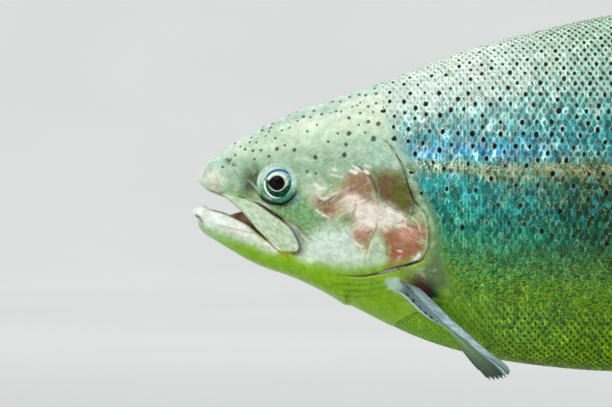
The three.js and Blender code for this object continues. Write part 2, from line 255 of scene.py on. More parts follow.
def ellipsoid_distance(centre, radii, s, y, z):
    """Centre and radii in percent. The fish is the same on both sides, so y counts as the left's."""
    ds, dy, dz = s - centre[0] * PERCENT, -np.abs(y) - centre[1] * PERCENT, z - centre[2] * PERCENT
    rs, ry, rz = (r * PERCENT for r in radii)
    near = np.sqrt((ds / rs) ** 2 + (dy / ry) ** 2 + (dz / rz) ** 2)
    steep = np.sqrt((ds / rs**2) ** 2 + (dy / ry**2) ** 2 + (dz / rz**2) ** 2)
    return near * (near - 1) / np.maximum(steep, 1e-6)


# The head's marks in the side view, in percent.
EYE_CENTRE = (6.68, -2.72, 1.24)
EYE_RADII = (1.62, 1.42, 1.68)
# The lid is a ring of skin round the eye, mm: its radius, how far out it lies and half its thickness.
LID_RADIUS, LID_DEPTH, LID_THICKNESS = 7.9, 18.2, 1.1
LID_TILT = (0.16, -0.05)  # how fast it comes out, to the rear and upward
GILL_EDGE = drawn([
    (14.6, 4.95), (15.3, 4.75), (15.95, 4.3), (16.65, 3.2), (17.1, 2.2), (17.5, 0.75), (17.95, -0.3),
    (18.5, -0.95), (18.95, -1.65), (19.12, -2.8), (19.05, -4.1), (18.5, -5.05), (17.65, -5.35),
    (16.5, -5.65), (15.35, -6.1), (13.6, -6.4), (11.6, -6.3),
])
CHEEK_EDGE = drawn([
    (13.1, 2.75), (13.6, 2.45), (14.4, 1.75), (14.8, 0.75), (15, -1), (14.85, -2.4), (14.4, -3.5),
    (13.95, -5.35),
])
GILL_SEAM = drawn([(17.75, -0.75), (17.4, -1.4), (17.0, -2.1), (15.9, -2.0), (15.1, -1.75)])
MAXILLA = drawn([
    (2.0, 0.25), (2.4, 0.4), (3.62, 0.03), (4.6, -0.31), (5.43, -0.8), (6.33, -1.45), (7.01, -1.91),
    (7.73, -2.5), (8.19, -3.25), (8.46, -4.01), (8.3, -4.46), (7.54, -4.5), (7.01, -4.38), (6.45, -4.02),
    (5.72, -3.34), (4.89, -2.51), (4.21, -1.68), (3.45, -0.89), (2.4, 0.02), (2.0, 0.25),
])
MAXILLA_TOP = drawn([
    (4.6, -0.23), (5.43, -0.72), (6.33, -1.38), (7.01, -1.83), (7.81, -2.46), (8.28, -3.25), (8.55, -4.01),
])
JAW_SEAM = drawn([(1.2, -2.15), (2.8, -2.95), (4.4, -3.55), (6, -4.35), (7.5, -5.2)])
JAW_KNOB = ((0.2, 0, -1.03), (0.62, 0.95, 0.52))
KNOB_NOTCH = drawn([(-0.5, -1.5), (0.0, -1.55), (0.3, -1.85), (0.42, -2.3)])
UNDER_KNOB = ((-0.62, 0, -2.0), (0.62, 2.5, 0.62))
NOSTRILS = ((2.55, 3.12), (3.02, 2.72))
NOSTRIL_CREASE = drawn([(2.95, 2.5), (3.05, 2.2), (3.45, 1.75)])
PECTORAL_ROOT = (16.5, -7.25)
ARMPIT = (18.9, -7.65)
TROUGH = ((5.2, 0, -1.9), (4.6, 1.8, 1.25))
TONGUE = ((4.5, 0, -1.95), (2.3, 1.15, 0.85))
GULLET = ((6.9, 0, -3.0), (2.5, 2.2, 1.1))

# Thin folds of the head's sides in the side view: half width in millimetres, strength and line in percent.
# The raised folds are painted with highlights and the sunken ones with shade.
HIGHLIT_FOLDS = [
    (0.50, 0.90, [(17.41, 2.4), (17.67, 2.01), (18.11, 1.88)]),
    (0.45, 0.90, [(17.78, 3.11), (18.05, 2.72), (18.44, 2.56)]),
    (0.50, 0.90, [(18.11, 2.01), (18.38, 1.68), (18.49, 1.36)]),
    (0.45, 0.85, [(18.27, 2.4), (18.49, 2.18), (18.71, 2.21)]),
    (0.45, 0.80, [(18.0, 1.47), (18.22, 1.14), (18.33, 0.92)]),
    (0.40, 0.80, [(17.34, 3.43), (17.47, 3.22), (17.67, 3.11)]),
    (0.75, 0.95, [(12.55, 2.32), (12.8, 2.25), (13.18, 2.08), (13.4, 1.99)]),
    (0.70, 0.90, [(13.71, 2.28), (13.95, 2.21), (14.19, 2.01), (14.28, 1.88)]),
    (0.60, 0.85, [(13.82, 2.71), (14.11, 2.65), (14.5, 2.5)]),
    (0.60, 0.80, [(11.19, 2.21), (11.41, 2.36), (11.63, 2.17)]),
    (0.50, 0.60, [(10.78, 1.88), (11.32, 1.88), (11.98, 1.73), (12.2, 1.88)]),
    (0.80, 0.75, [(9.25, 0.79), (9.79, 1.14), (10.23, 0.81), (10.94, 0.7)]),
    (0.60, 0.80, [(9.9, 0.26), (10.39, -0.07), (10.78, -0.02), (11.43, 0.37), (11.98, 0.46)]),
    (0.70, 0.70, [(11.65, -0.5), (12.31, -0.07), (13.07, 0.26)]),
    (0.60, 0.70, [(9.68, -0.72), (10.12, -1.16), (10.67, -1.49), (11.22, -1.82)]),
    (0.50, 0.50, [(11.32, -2.25), (11.76, -1.6), (12.31, -1.21), (13.07, -1.05)]),
    (0.55, 0.70, [(14.96, -0.5), (15.04, -1.16), (15.0, -1.82), (14.85, -2.36)]),
    (0.60, 0.80, [(12.97, -3.57), (13.4, -3.89), (13.95, -4.17)]),
    (0.60, 0.80, [(14.72, -3.13), (14.28, -4.33), (13.95, -5.43)]),
    (0.60, 0.85, [(15.15, -0.72), (16.03, -1.16), (16.9, -1.6), (17.67, -1.82)]),
    (0.60, 0.80, [(15.04, -2.47), (15.59, -1.82), (16.25, -1.49)]),
    (0.55, 0.70, [(16.25, -2.47), (17.01, -2.25), (18.0, -2.8)]),
    (0.50, 0.60, [(17.34, -1.38), (17.89, -1.71), (18.33, -2.25), (18.54, -3.13)]),
    (0.70, 0.95, [(17.67, -5.15), (18.11, -4.99), (18.38, -4.66), (18.33, -4.44)]),
    (0.50, 0.60, [(16.49, -4.42), (16.82, -4.35), (17.07, -4.55)]),
    (0.50, 0.60, [(8.59, -2.8), (8.92, -3.35), (9.25, -3.68)]),
    (0.80, 0.80, [(8.59, -4.33), (9.03, -4.44), (9.25, -4.77)]),
    (0.60, 0.60, [(10.34, -3.68), (11.0, -3.68), (11.32, -4.0), (11.87, -4.0)]),
    (0.50, 0.50, [(11.87, -4.55), (12.53, -4.0), (13.4, -4.33)]),
    (0.55, 0.80, [(17.47, 2.23), (17.89, 1.88), (18.33, 1.79)]),
    (0.55, 0.80, [(17.89, 2.78), (18.22, 2.56), (18.49, 2.4)]),
    (0.55, 0.80, [(18.22, 1.58), (18.49, 1.36), (18.71, 1.47)]),
    (0.50, 0.60, [(17.34, 3.33), (17.67, 3.0), (17.89, 3.11)]),
    (0.44, 0.60, [(14.68, -6.33), (15.76, -6.03), (16.62, -5.85), (17.53, -5.64)]),
    (0.48, 0.45, [(15.43, -7.15), (15.8, -6.76), (16.32, -6.63), (17.27, -6.8)]),
    (0.44, 0.38, [(4.01, 1.66), (4.57, 1.23), (5.09, 0.62), (5.31, -0.02)]),
    (0.50, 0.60, [(3.61, -0.03), (4.44, -0.17), (5.41, -0.45), (6.37, -1.14)]),
    (0.60, 0.70, [(2.71, 2.94), (2.92, 2.59), (3.13, 2.38)]),
]
SHADED_FOLDS = [
    (0.50, 0.70, [(13.4, 2.5), (13.84, 2.18), (14.28, 1.74), (14.55, 1.14), (14.67, 0.48)]),
    (0.45, 0.60, [(14.72, 1.47), (14.88, 0.92), (14.93, 0.26)]),
    (0.45, 0.60, [(13.07, -0.18), (13.16, -0.72), (12.97, -1.27), (13.02, -1.71)]),
    (0.50, 0.60, [(9.79, 0.26), (10.45, -0.39), (11.11, -0.07), (11.76, 0.37)]),
    (0.40, 0.50, [(10.01, -0.94), (10.45, -0.61), (11.32, -0.5)]),
    (0.45, 0.55, [(15.59, -0.5), (16.25, -0.78), (16.9, -1.16)]),
    (0.45, 0.70, [(16.74, -2.17), (17.07, -1.87), (17.34, -1.49), (17.51, -1.82)]),
    (0.45, 0.50, [(18.33, -2.04), (18.49, -2.8), (18.27, -3.68)]),
    (0.40, 0.40, [(12.2, -2.36), (12.42, -2.8), (12.86, -3.35)]),
    (0.50, 0.45, [(15.59, -3.35), (15.76, -4.22), (15.59, -5.32)]),
    (0.40, 0.40, [(8.81, -2.47), (9.14, -3.13), (9.57, -3.57)]),
    (0.50, 0.70, [(12.3, -6.37), (13.81, -6.46), (15.11, -6.16), (16.62, -5.72), (17.62, -5.47)]),
    (0.60, 0.50, [(8.16, -1.97), (8.55, -2.57), (8.85, -3.26), (8.98, -3.95)]),
    (0.45, 0.60, [(2.62, 3.28), (2.67, 2.94), (2.78, 2.66)]),
]

# Spots of the head: place in the side view in percent and radius in millimetres.
HEAD_SPOTS = [
    (2.07, 2.54, 0.68), (2.77, 3.13, 0.68), (3.16, 3.56, 0.68), (3.96, 4.04, 0.82), (4.61, 3.97, 0.82),
    (5.31, 3.95, 0.68), (4.89, 4.65, 0.68), (4.79, 3.21, 0.68), (6.02, 3.41, 0.91), (6.68, 4.04, 1),
    (7.31, 4.41, 0.68), (8.15, 4, 1.1), (6.46, 4.97, 0.68), (5.7, 5.19, 0.68), (7.65, 5.84, 0.68),
    (7.11, 5.63, 0.68), (9.13, 5.56, 0.73), (10.04, 6.1, 0.68), (9.5, 6.75, 0.68), (9.78, 3.41, 1.1),
    (9.17, 2.22, 0.73), (9.89, 1.98, 0.68), (11.56, 7.21, 0.68), (12.04, 7.15, 0.68), (12.69, 6.69, 0.95),
    (13.52, 7.06, 0.77), (14.28, 6.32, 0.95), (14.99, 6.12, 1.2), (15.97, 6.39, 0.95), (15.58, 7.58, 0.91),
    (14.93, 7.91, 0.91), (14.28, 7.65, 0.82), (12.65, 5.36, 1.3), (11.67, 5.3, 0.77), (10.95, 4.67, 0.77),
    (12.45, 4.43, 0.95), (12.24, 3.56, 1.2), (14.02, 5.41, 0.73), (14.65, 4.87, 1.4), (16.82, 5.26, 1.4),
    (16.99, 4.1, 1.1), (18.36, 3.11, 1.1), (17.32, 6.45, 0.95), (17.97, 6.88, 0.91), (13.45, 6.06, 0.68),
    (8.37, 6.45, 0.68), (6.02, 5.58, 0.68), (4.39, 4.65, 0.68), (3.63, 4.28, 0.68), (13.63, 7.97, 0.68),
    (12.97, 7.62, 0.68), (14.71, 7.15, 0.68),
]

# Where the scales start, from the back down to the belly: height over place, in percent.
coat_front = curve([
    (-13, 16.4), (-11, 16.2), (-9.9, 16.8), (-9.2, 18.6), (-8.3, 20.6), (-6.2, 20.4), (-4.5, 19.8),
    (-2.5, 19.65), (-1, 19.1), (0.5, 18.3), (2.2, 17.6), (3.8, 16.9), (5.2, 16.1), (7, 15.4), (11, 15.2),
])


def under_coat(s, z):
    """1 where scales cover the skin, 0 on the head."""
    return smooth_step(-0.25, 0.45, s / PERCENT - coat_front(z / PERCENT))


def fade_ends(passed, share=0.1):
    return smooth_step(0, share, passed) * smooth_step(0, share, 1 - passed)


# Hills and hollows of the head's side: height in mm, place and half-widths in percent, and turn.
SOFT_FORMS = [
    (-0.9, (4.45, 1.6), (0.75, 0.85), 0),
    (0.35, (5.4, -0.3), (1.6, 0.45), -0.5),
    (0.7, (11.2, -1.6), (2.6, 2.4), 0),
    (-0.3, (9.6, 2.2), (2.2, 0.8), 0),
    (-0.35, (10.2, -0.5), (1.8, 0.3), -0.35),
    (-0.3, (9.7, -2.1), (0.35, 1.6), 0.35),
    (0.35, (16.8, -3.3), (1.3, 1.3), 0),
    (0.6, (2.78, 2.92), (0.12, 0.28), 0.6),
    (1.3, PECTORAL_ROOT, (1.0, 0.75), -0.6),
    (-1.7, ARMPIT, (1.35, 0.6), -0.62),
]
MEMBRANE_FOLD = 2.6  # from one fold of the gill membrane to the next, mm


def flank_relief(s, z):
    """How far the side of the head stands out from the plain form, in millimetres, and the painted shade of
    its creases.
    """
    edge, passed = to_line(GILL_EDGE, s, z)
    front = -edge  # positive in front of the edge, which is drawn from the top down
    ends = fade_ends(passed, 0.12)
    cover = np.exp(-np.maximum(front, 0) / 16)
    behind = -0.9 * np.exp(-np.maximum(-front, 0) / 1.3)
    relief = ends * (behind + (cover - behind) * smooth_step(-0.45, 0.35, front)) * (np.abs(front) < 60)
    crease_shade = 0 * front

    cheek, passed = to_line(CHEEK_EDGE, s, z)
    ends = fade_ends(passed, 0.15)
    relief = relief + ends * (0.5 * smooth_step(-0.5, 0.5, -cheek) - 0.25) * np.exp(-(cheek / 9) ** 2)

    seam, passed = to_line(GILL_SEAM, s, z)
    relief = relief - 0.25 * fade_ends(passed, 0.2) * np.exp(-(seam / 0.55) ** 2)

    groove, passed = to_line(MAXILLA_TOP, s, z)
    relief = relief - 0.2 * fade_ends(passed, 0.2) * np.exp(-((groove - 0.35) / 0.4) ** 2)
    # A pale fold runs behind the groove.
    relief = relief + 0.3 * fade_ends(passed, 0.2) * np.exp(-((groove - 2.0) / 0.9) ** 2)

    around = np.hypot(s - EYE_CENTRE[0] * PERCENT, (z - EYE_CENTRE[2] * PERCENT) * 0.97)
    below = smooth_step(0.1, 0.9, -(z - EYE_CENTRE[2] * PERCENT - 0.35 * (s - EYE_CENTRE[0] * PERCENT)) / 9)
    relief = relief - 1.1 * np.exp(-((around - 9.9) / 1.1) ** 2) * below
    relief = relief + 0.6 * np.exp(-((around - 9.6) / 2.2) ** 2) * (1 - below)

    for height, place, size, turn in SOFT_FORMS:
        relief = relief + height * bump(s, z, place, size, turn)

    # The nostrils are sunk and get painted shade.
    for place, depth in zip(NOSTRILS, (1.5, 1.0)):
        mark = bump(s, z, place, (0.17, 0.2))
        relief = relief - depth * mark
        crease_shade = np.maximum(crease_shade, mark)
    mark, passed = to_line(NOSTRIL_CREASE, s, z)
    relief = relief - 0.3 * fade_ends(passed, 0.3) * np.exp(-(mark / 0.5) ** 2)

    for folds, lift in ((HIGHLIT_FOLDS, 0.3), (SHADED_FOLDS, -0.35)):
        for half, strength, points in folds:
            gap, passed = to_line(drawn(points), s, z)
            relief = relief + lift * strength * fade_ends(passed, 0.3) * np.exp(-(gap / half) ** 2)

    # Folds of the gill membrane, parallel to the cover's lower edge.
    folds = smooth_step(0.8, 0.9, to_line(GILL_EDGE, s, z)[1]) * smooth_step(1, 3, -front)
    folds = folds * smooth_step(13, 8, -front) * smooth_step(10.5, 12.5, s / PERCENT)
    wave = np.sin(-front * 2 * math.pi / MEMBRANE_FOLD)
    relief = relief + 0.22 * folds * wave
    # Painted shade in the troughs between the folds.
    crease_shade = np.maximum(crease_shade, 0.75 * folds * smooth_step(0.2, 1, -wave))

    return relief, crease_shade


def jaw_relief(s, z):
    seam, passed = to_line(JAW_SEAM, s, z)
    mark = fade_ends(passed, 0.2)
    notch, passed = to_line(KNOB_NOTCH, s, z)
    dent = fade_ends(passed, 0.25) * np.exp(-(notch / 0.7) ** 2)
    relief = 0.5 * mark * np.exp(-((seam - 2.0) / 1.8) ** 2) - 0.15 * mark * np.exp(-(seam / 0.5) ** 2)
    # The notch behind the jaw's knob gets painted shade.
    return relief - 0.9 * dent, 0.8 * dent


def side_grid(step, lowest):
    """Places and heights of a grid over the side view of the head, in millimetres."""
    return np.arange(-1.2 * PERCENT, 23 * PERCENT, step), np.arange(lowest * PERCENT, 13 * PERCENT, step)


def side_view_fields():
    """The relief, the painted shade of the creases and the maxilla's outline over the side view of the head,
    worked out once.
    """
    step = 0.3
    s, z = side_grid(step, -14.5)
    grid_s, grid_z = s[:, None], z[None, :]
    relief, crease_shade = flank_relief(grid_s, grid_z)
    jaw_lift, jaw_crease = jaw_relief(grid_s, grid_z)
    crease_shade = np.maximum(crease_shade, jaw_crease)
    fields = np.stack([relief, crease_shade, jaw_lift, to_outline(MAXILLA, grid_s, grid_z)])

    return lambda places, heights: bilinear(fields, (places - s[0]) / step, (heights - z[0]) / step)


side_view = side_view_fields()


def skin_distance(s, y, z):
    """Signed distance to the skin."""
    relief, _, jaw_lift, outline = side_view(*np.broadcast_arrays(s, z))
    shut = form_distance(SHUT_HEAD, s, y, z)
    flank = smooth_step(0.12, 0.4, np.abs(y) / (half_width(s / PERCENT) * PERCENT))
    body = form_distance(BODY, s, y, z)
    # The roof of the mouth and the trunk carry no relief.
    outer = smooth_step(-4, -1.5, shut)
    body = body - relief * flank * outer + SKIN_DEPTH * under_coat(s, z)

    jaw = form_distance(JAW, s, y, z) - jaw_lift * smooth_step(0.2, 0.5, np.abs(y) / (3 * PERCENT))
    jaw = np.maximum(jaw, s - JAW_END * PERCENT)
    jaw = soft_cut(jaw, ellipsoid_distance(*TROUGH, s, y, z), 1.5)
    jaw = soft_union(jaw, ellipsoid_distance(*TONGUE, s, y, z), 1.0)
    jaw = soft_union(jaw, ellipsoid_distance(*GULLET, s, y, z), 1.0)
    jaw = soft_cut(jaw, ellipsoid_distance(*UNDER_KNOB, s, y, z), 1.2)
    jaw = soft_union(jaw, ellipsoid_distance(*JAW_KNOB, s, y, z), 0.9)
    hinge = smooth_step(7.2, 10, s / PERCENT)
    whole = soft_union(body, jaw, 0.3 + 3.7 * hinge)

    plate = np.maximum(shut - 0.3, -shut - 1.6)
    rounding = 1.0
    plate = (
        np.hypot(np.maximum(plate + rounding, 0), np.maximum(outline + rounding, 0))
        + np.minimum(np.maximum(plate + rounding, outline + rounding), 0)
        - rounding
    )
    plate = np.where(np.abs(y) > 0.8 * PERCENT, plate, 9.0)
    front = smooth_step(5.2, 3.2, s / PERCENT)
    whole = soft_union(whole, plate, 0.5 + 2.0 * front)
    whole = soft_cut(whole, ellipsoid_distance(EYE_CENTRE, EYE_RADII, s, y, z) - 0.1, 0.6)
    behind, above = s - EYE_CENTRE[0] * PERCENT, z - EYE_CENTRE[2] * PERCENT
    around = np.hypot(behind, above)
    lid_depth = LID_DEPTH + LID_TILT[0] * behind + LID_TILT[1] * above
    lid = np.hypot(around - LID_RADIUS, (np.abs(y) - lid_depth) * 0.8) - LID_THICKNESS
    whole = soft_union(whole, lid, 2.0)
    return np.maximum(whole, s - TAIL_END * PERCENT)


def surface_net(values):
    """Vertices, as fractional grid places, and quads on the zero level of a grid of distances."""
    inside = values < 0
    shape = tuple(n - 1 for n in values.shape)
    corners = sum(
        inside[i : i + shape[0], j : j + shape[1], k : k + shape[2]].astype(np.int8)
        for i in (0, 1) for j in (0, 1) for k in (0, 1)
    )
    cells = np.argwhere((corners > 0) & (corners < 8))
    number = np.full(shape, -1, np.int32)
    number[tuple(cells.T)] = np.arange(len(cells))

    total = np.zeros((len(cells), 3))
    count = np.zeros(len(cells))
    quads = []
    for axis in range(3):
        others = [(axis + 1) % 3, (axis + 2) % 3]
        for b in (0, 1):
            for c in (0, 1):
                low = np.zeros(3, int)
                low[others[0]], low[others[1]] = b, c
                high = low.copy()
                high[axis] = 1
                start, end = values[tuple((cells + low).T)], values[tuple((cells + high).T)]
                crosses = (start < 0) != (end < 0)
                share = np.where(crosses, start / np.where(crosses, start - end, 1), 0)
                place = low + share[:, None] * (high - low)
                total += place * crosses[:, None]
                count += crosses
        near = [slice(None)] * 3
        far = [slice(None)] * 3
        near[axis], far[axis] = slice(0, -1), slice(1, None)
        change = inside[tuple(near)] != inside[tuple(far)]
        edges = np.argwhere(change)
        keep = np.ones(len(edges), bool)
        for other in others:
            keep &= (edges[:, other] > 0) & (edges[:, other] < shape[other])
        edges = edges[keep]
        ring = []
        for b, c in ((-1, -1), (0, -1), (0, 0), (-1, 0)):
            cell = edges.copy()
            cell[:, others[0]] += b
            cell[:, others[1]] += c
            ring.append(number[tuple(cell.T)])
        ring = np.stack(ring, 1)
        outward = inside[tuple(edges.T)]
        ring[~outward] = ring[~outward][:, ::-1]
        quads.append(ring)
    return cells + total / count[:, None], np.concatenate(quads)


FINE_STEP, COARSE_STEP = 0.72, 6.0  # of the skin's mesh, at the head and far behind it, mm


def build_skin():
    """Vertices in millimetres and quads of the whole skin."""
    places = [-0.75 * PERCENT]
    while places[-1] < (TAIL_END + 0.6) * PERCENT:
        growth = smooth_step(19.5, 27, places[-1] / PERCENT)
        closing = smooth_step(97, 100, places[-1] / PERCENT)
        places.append(places[-1] + FINE_STEP + (COARSE_STEP - FINE_STEP) * growth * (1 - 0.7 * closing))
    places = np.array(places)
    middle = 0.5 * (back_line(places / PERCENT) + belly_line(places / PERCENT)) * PERCENT
    tall = 0.5 * (back_line(places / PERCENT) - belly_line(places / PERCENT)) * PERCENT + 2.5
    wide = half_width(places / PERCENT) * PERCENT + 2.6
    tall, wide = np.maximum(tall, 24), np.maximum(wide, 14)
    across = np.linspace(-1, 1, 70)
    up = np.linspace(-1, 1, 128)

    left = across[: len(across) // 2]
    s = places[:, None, None]
    y = left[None, :, None] * wide[:, None, None]
    z = middle[:, None, None] + up[None, None, :] * tall[:, None, None]
    values = skin_distance(s, y, z)
    values = np.concatenate([values, values[:, ::-1]], axis=1)

    net, quads = surface_net(values)
    s = np.interp(net[:, 0], np.arange(len(places)), places)
    y = np.interp(net[:, 1], np.arange(len(across)), across) * np.interp(s, places, wide)
    level = np.interp(net[:, 2], np.arange(len(up)), up)
    z = np.interp(s, places, middle) + level * np.interp(s, places, tall)
    points = np.stack([s, y, z], 1)

    # Pull the vertices onto the true surface.
    nudge, farthest = 0.05, 0.3
    here = skin_distance(*points.T)
    slope = np.stack([
        skin_distance(*(points + nudge * np.eye(3)[axis]).T) - here for axis in range(3)
    ], 1) / nudge
    steep = (slope**2).sum(1)
    for _ in range(2):
        here = skin_distance(*points.T)
        move = -(here / np.maximum(steep, 0.2))[:, None] * slope
        length = np.linalg.norm(move, axis=1)
        move *= (np.minimum(length, farthest) / np.maximum(length, 1e-9))[:, None]
        middle_line = np.abs(points[:, 1]) < 1e-6
        move[middle_line, 1] = 0
        points = points + move
    return points, quads


def new_mesh(name, points, faces):
    """A smooth mesh object from points in the fish's frame and faces of one size."""
    mesh = bpy.data.meshes.new(name)
    corners = faces.shape[1]
    mesh.vertices.add(len(points))
    mesh.vertices.foreach_set("co", world(points).astype(np.float32).ravel())
    mesh.loops.add(faces.size)
    mesh.loops.foreach_set("vertex_index", faces.astype(np.int32).ravel())
    mesh.polygons.add(len(faces))
    mesh.polygons.foreach_set("loop_start", np.arange(len(faces), dtype=np.int32) * corners)
    mesh.update(calc_edges=True)
    mesh.polygons.foreach_set("use_smooth", np.ones(len(faces), bool))
    piece = bpy.data.objects.new(name, mesh)
    bpy.context.scene.collection.objects.link(piece)
    return piece


# ---------------------------------------------------------------------------------------------------
# The skin unrolled: round a section from the lateral line
# ---------------------------------------------------------------------------------------------------


SECTION_STEP = 0.5  # percent
RIGHT_SIDE_SHIFT = 700  # how far off the right side lies on the unrolled map, mm


def section_tables():
    """For each place along the body: points from back to belly and their arc from the lateral line."""
    places = np.arange(-0.5, 101.1, SECTION_STEP)
    angles = np.linspace(0, math.pi, 181)
    s = places[:, None]
    middle, half = widest_line(s), half_width(s)
    up = angles[None, :] <= math.pi / 2
    reach = np.where(up, back_line(s) - middle, middle - belly_line(s))
    power = np.where(up, SHUT_HEAD.upper, SHUT_HEAD.lower)
    ahead = np.clip((BODY.start + BODY.tip - s) / BODY.tip, 0, 0.995)
    closing = np.sqrt(1 - ahead**2)
    y = half * closing * np.abs(np.sin(angles)) ** (2 / power)
    z = middle + reach * closing * np.sign(np.cos(angles)) * np.abs(np.cos(angles)) ** (2 / power)
    y, z = y * PERCENT, z * PERCENT
    steps = np.hypot(np.diff(y, axis=1), np.diff(z, axis=1))
    arc = np.concatenate([np.zeros((len(places), 1)), np.cumsum(steps, axis=1)], axis=1)
    for i, place in enumerate(places):
        height = np.clip(lateral_line(place) * PERCENT, z[i, -1], z[i, 0])
        arc[i] = np.interp(-height, -z[i], arc[i]) - arc[i]
    return SimpleNamespace(places=places, angles=angles, y=y, z=z, arc=arc)


SECTIONS = section_tables()


def look_up(table, places, columns):
    """A section table at places in percent and at fractional columns."""
    return bilinear(table, (places - SECTIONS.places[0]) / SECTION_STEP, columns)


def unrolled(points):
    """Arc from the lateral line, positive upward, of points on the skin."""
    s, y, z = points.T
    place = s / PERCENT
    middle = widest_line(place) * PERCENT
    up = z >= middle
    reach = np.where(up, back_line(place) * PERCENT - middle, middle - belly_line(place) * PERCENT)
    power = np.where(up, SHUT_HEAD.upper, SHUT_HEAD.lower) / 2
    side = np.abs(np.abs(y) / (half_width(place) * PERCENT)) ** power
    height = np.abs((z - middle) / reach) ** power * np.where(up, 1, -1)
    angle = np.arctan2(side, height)
    return look_up(SECTIONS.arc, place, angle / math.pi * (len(SECTIONS.angles) - 1))


def girth(s, z):
    """1 on the back's midline, 0 on the lateral line and -1 on the belly's midline."""
    place, height = s / PERCENT, z / PERCENT
    line = lateral_line(place)
    above = (height - line) / (back_line(place) - line)
    below = (height - line) / (line - belly_line(place))
    return np.clip(np.where(height > line, above, below), -1.1, 1.1)


def set_field(mesh, name, values):
    kind = "FLOAT" if values.ndim == 1 else "FLOAT_VECTOR"
    field = mesh.attributes.new(name, kind, "POINT")
    field.data.foreach_set("value" if values.ndim == 1 else "vector", values.astype(np.float32).ravel())


def mark_places(mesh, points, roots=None):
    """The fields that carry the fish's markings: its girth and its unrolled map, in metres."""
    s, y, z = points.T
    set_field(mesh, "girth", girth(s, z))
    arc = unrolled(points) if roots is None else roots[:, 1]
    along = s if roots is None else roots[:, 0]
    right_shift = np.where(y > 0, RIGHT_SIDE_SHIFT, 0)
    set_field(mesh, "map", np.stack([along + right_shift, arc, 0 * s], 1) / 1000)


# ---------------------------------------------------------------------------------------------------
# The coat: places of the scales and of the spots
# ---------------------------------------------------------------------------------------------------

ROW_SPACING = 2.95  # at the lateral line, mm. The rows close up toward the back and the belly.
ROW_CLOSING = 0.0115
MOST_ROWS = 44
SCALE_SPACING = 3.18  # along a row, mm
COAT_END = 99.6  # percent
NO_SPOTS = 1e3  # a gap between spots so wide that there are none


def shrink(place):
    """How much smaller the scales get toward the tail."""
    return np.interp(place, [0, 25, 60, 100], [0.92, 1.0, 0.95, 0.74])


def coat_path():
    """Running count of scales along the lateral line, to turn a count into a place."""
    places = np.arange(14, 101, 0.1)
    counts = np.concatenate([[0], np.cumsum(0.1 * PERCENT / (SCALE_SPACING * shrink(places[:-1])))])
    return places, counts


def on_coat(place, arc, side):
    """Points of the full body at places in percent and arcs in millimetres. side is -1 on the left."""
    rows = np.clip((place - SECTIONS.places[0]) / SECTION_STEP, 0, len(SECTIONS.places) - 1.001)
    low = rows.astype(int)
    share = rows - low
    column = np.zeros_like(place)
    for i in np.unique(low):
        chosen = low == i
        part = share[chosen, None]
        mixed = SECTIONS.arc[i][None, :] * (1 - part) + SECTIONS.arc[i + 1][None, :] * part
        # The arcs fall from the back to the belly.
        above = (mixed > arc[chosen, None]).sum(1).clip(1, mixed.shape[1] - 1)
        rows_here = np.arange(chosen.sum())
        a, b = mixed[rows_here, above - 1], mixed[rows_here, above]
        column[chosen] = above - 1 + np.clip((a - arc[chosen]) / np.maximum(a - b, 1e-9), 0, 1)
    y = look_up(SECTIONS.y, place, column) * side
    z = look_up(SECTIONS.z, place, column)
    return np.stack([place * PERCENT, y, z], -1)


def arc_range(place):
    top = look_up(SECTIONS.arc, place, np.zeros_like(place))
    bottom = look_up(SECTIONS.arc, place, np.full_like(place, len(SECTIONS.angles) - 1.0))
    return bottom, top


def arc_level(place, arc):
    """1 on the back's ridge, 0 at the lateral line and -1 under the belly."""
    bottom, top = arc_range(place)
    return np.where(arc > 0, arc / top, -arc / bottom)


def settled(place, height):
    """0 where the scales begin and 1 where they are full, more slowly behind the gills than on the nape."""
    reach = np.interp(height, [-11, -7, -3, 2, 5, 12], [1.2, 1.8, 0.8, 0.7, 1.4, 2.6])
    return np.clip((place - coat_front(height)) / reach, 0, 1)


def scale_roots():
    """Place in percent, arc in millimetres and row of every scale of one side."""
    places, counts = coat_path()
    found = []
    for row in range(-MOST_ROWS, MOST_ROWS + 1):
        count = np.arange(0.5 * (row % 2), counts[-1], 1.0)
        place = np.interp(count, counts, places)
        arc = row * (ROW_SPACING - ROW_CLOSING * abs(row)) * shrink(place)
        bottom, top = arc_range(place)
        keep = (arc < top + 0.4) & (arc > bottom - 0.4) & (place < COAT_END)
        place, arc = place[keep], arc[keep]
        height = on_coat(place, arc, -1)[:, 2] / PERCENT
        keep = place > coat_front(height)
        found.append(np.stack([place[keep], arc[keep], np.full(keep.sum(), row)], 1))
    return np.concatenate(found)


def choose_spots(roots, generator):
    """Size of the spot on each scale, 0 for none. Spots keep a gap that grows below the lateral line."""
    place, arc, _ = roots.T
    level = arc_level(place, arc)
    levels = [-0.34, -0.3, -0.12, 0.02, 0.12, 0.6, 0.85, 1.0]
    gap = np.interp(level, levels, [NO_SPOTS, 14, 9.5, 7.2, 4.7, 4.3, 5.2, 6.0])
    gap = gap * np.interp(place, [16, 32, 60, 100], [1.0, 1.0, 0.85, 0.75])
    gap = gap * generator.uniform(0.8, 1.35, len(place))
    size = generator.uniform(0.7, 1.15, len(place))
    size = size * np.interp(level, [0, 0.2, 0.6, 0.8], [0.8, 1.0, 0.9, 0.75])
    found = np.zeros((len(place), 2))
    taken = 0
    chosen = np.zeros(len(place))
    for i in generator.permutation(len(place)):
        if gap[i] > 99:
            continue
        here = np.array([place[i] * PERCENT, arc[i]])
        if taken and ((found[:taken] - here) ** 2).sum(1).min() < gap[i] ** 2:
            continue
        found[taken] = here
        taken += 1
        chosen[i] = size[i]
    return chosen


ROOTS = scale_roots()
SPOTS = {side: choose_spots(ROOTS, np.random.default_rng(seed)) for side, seed in ((-1, 3), (1, 4))}


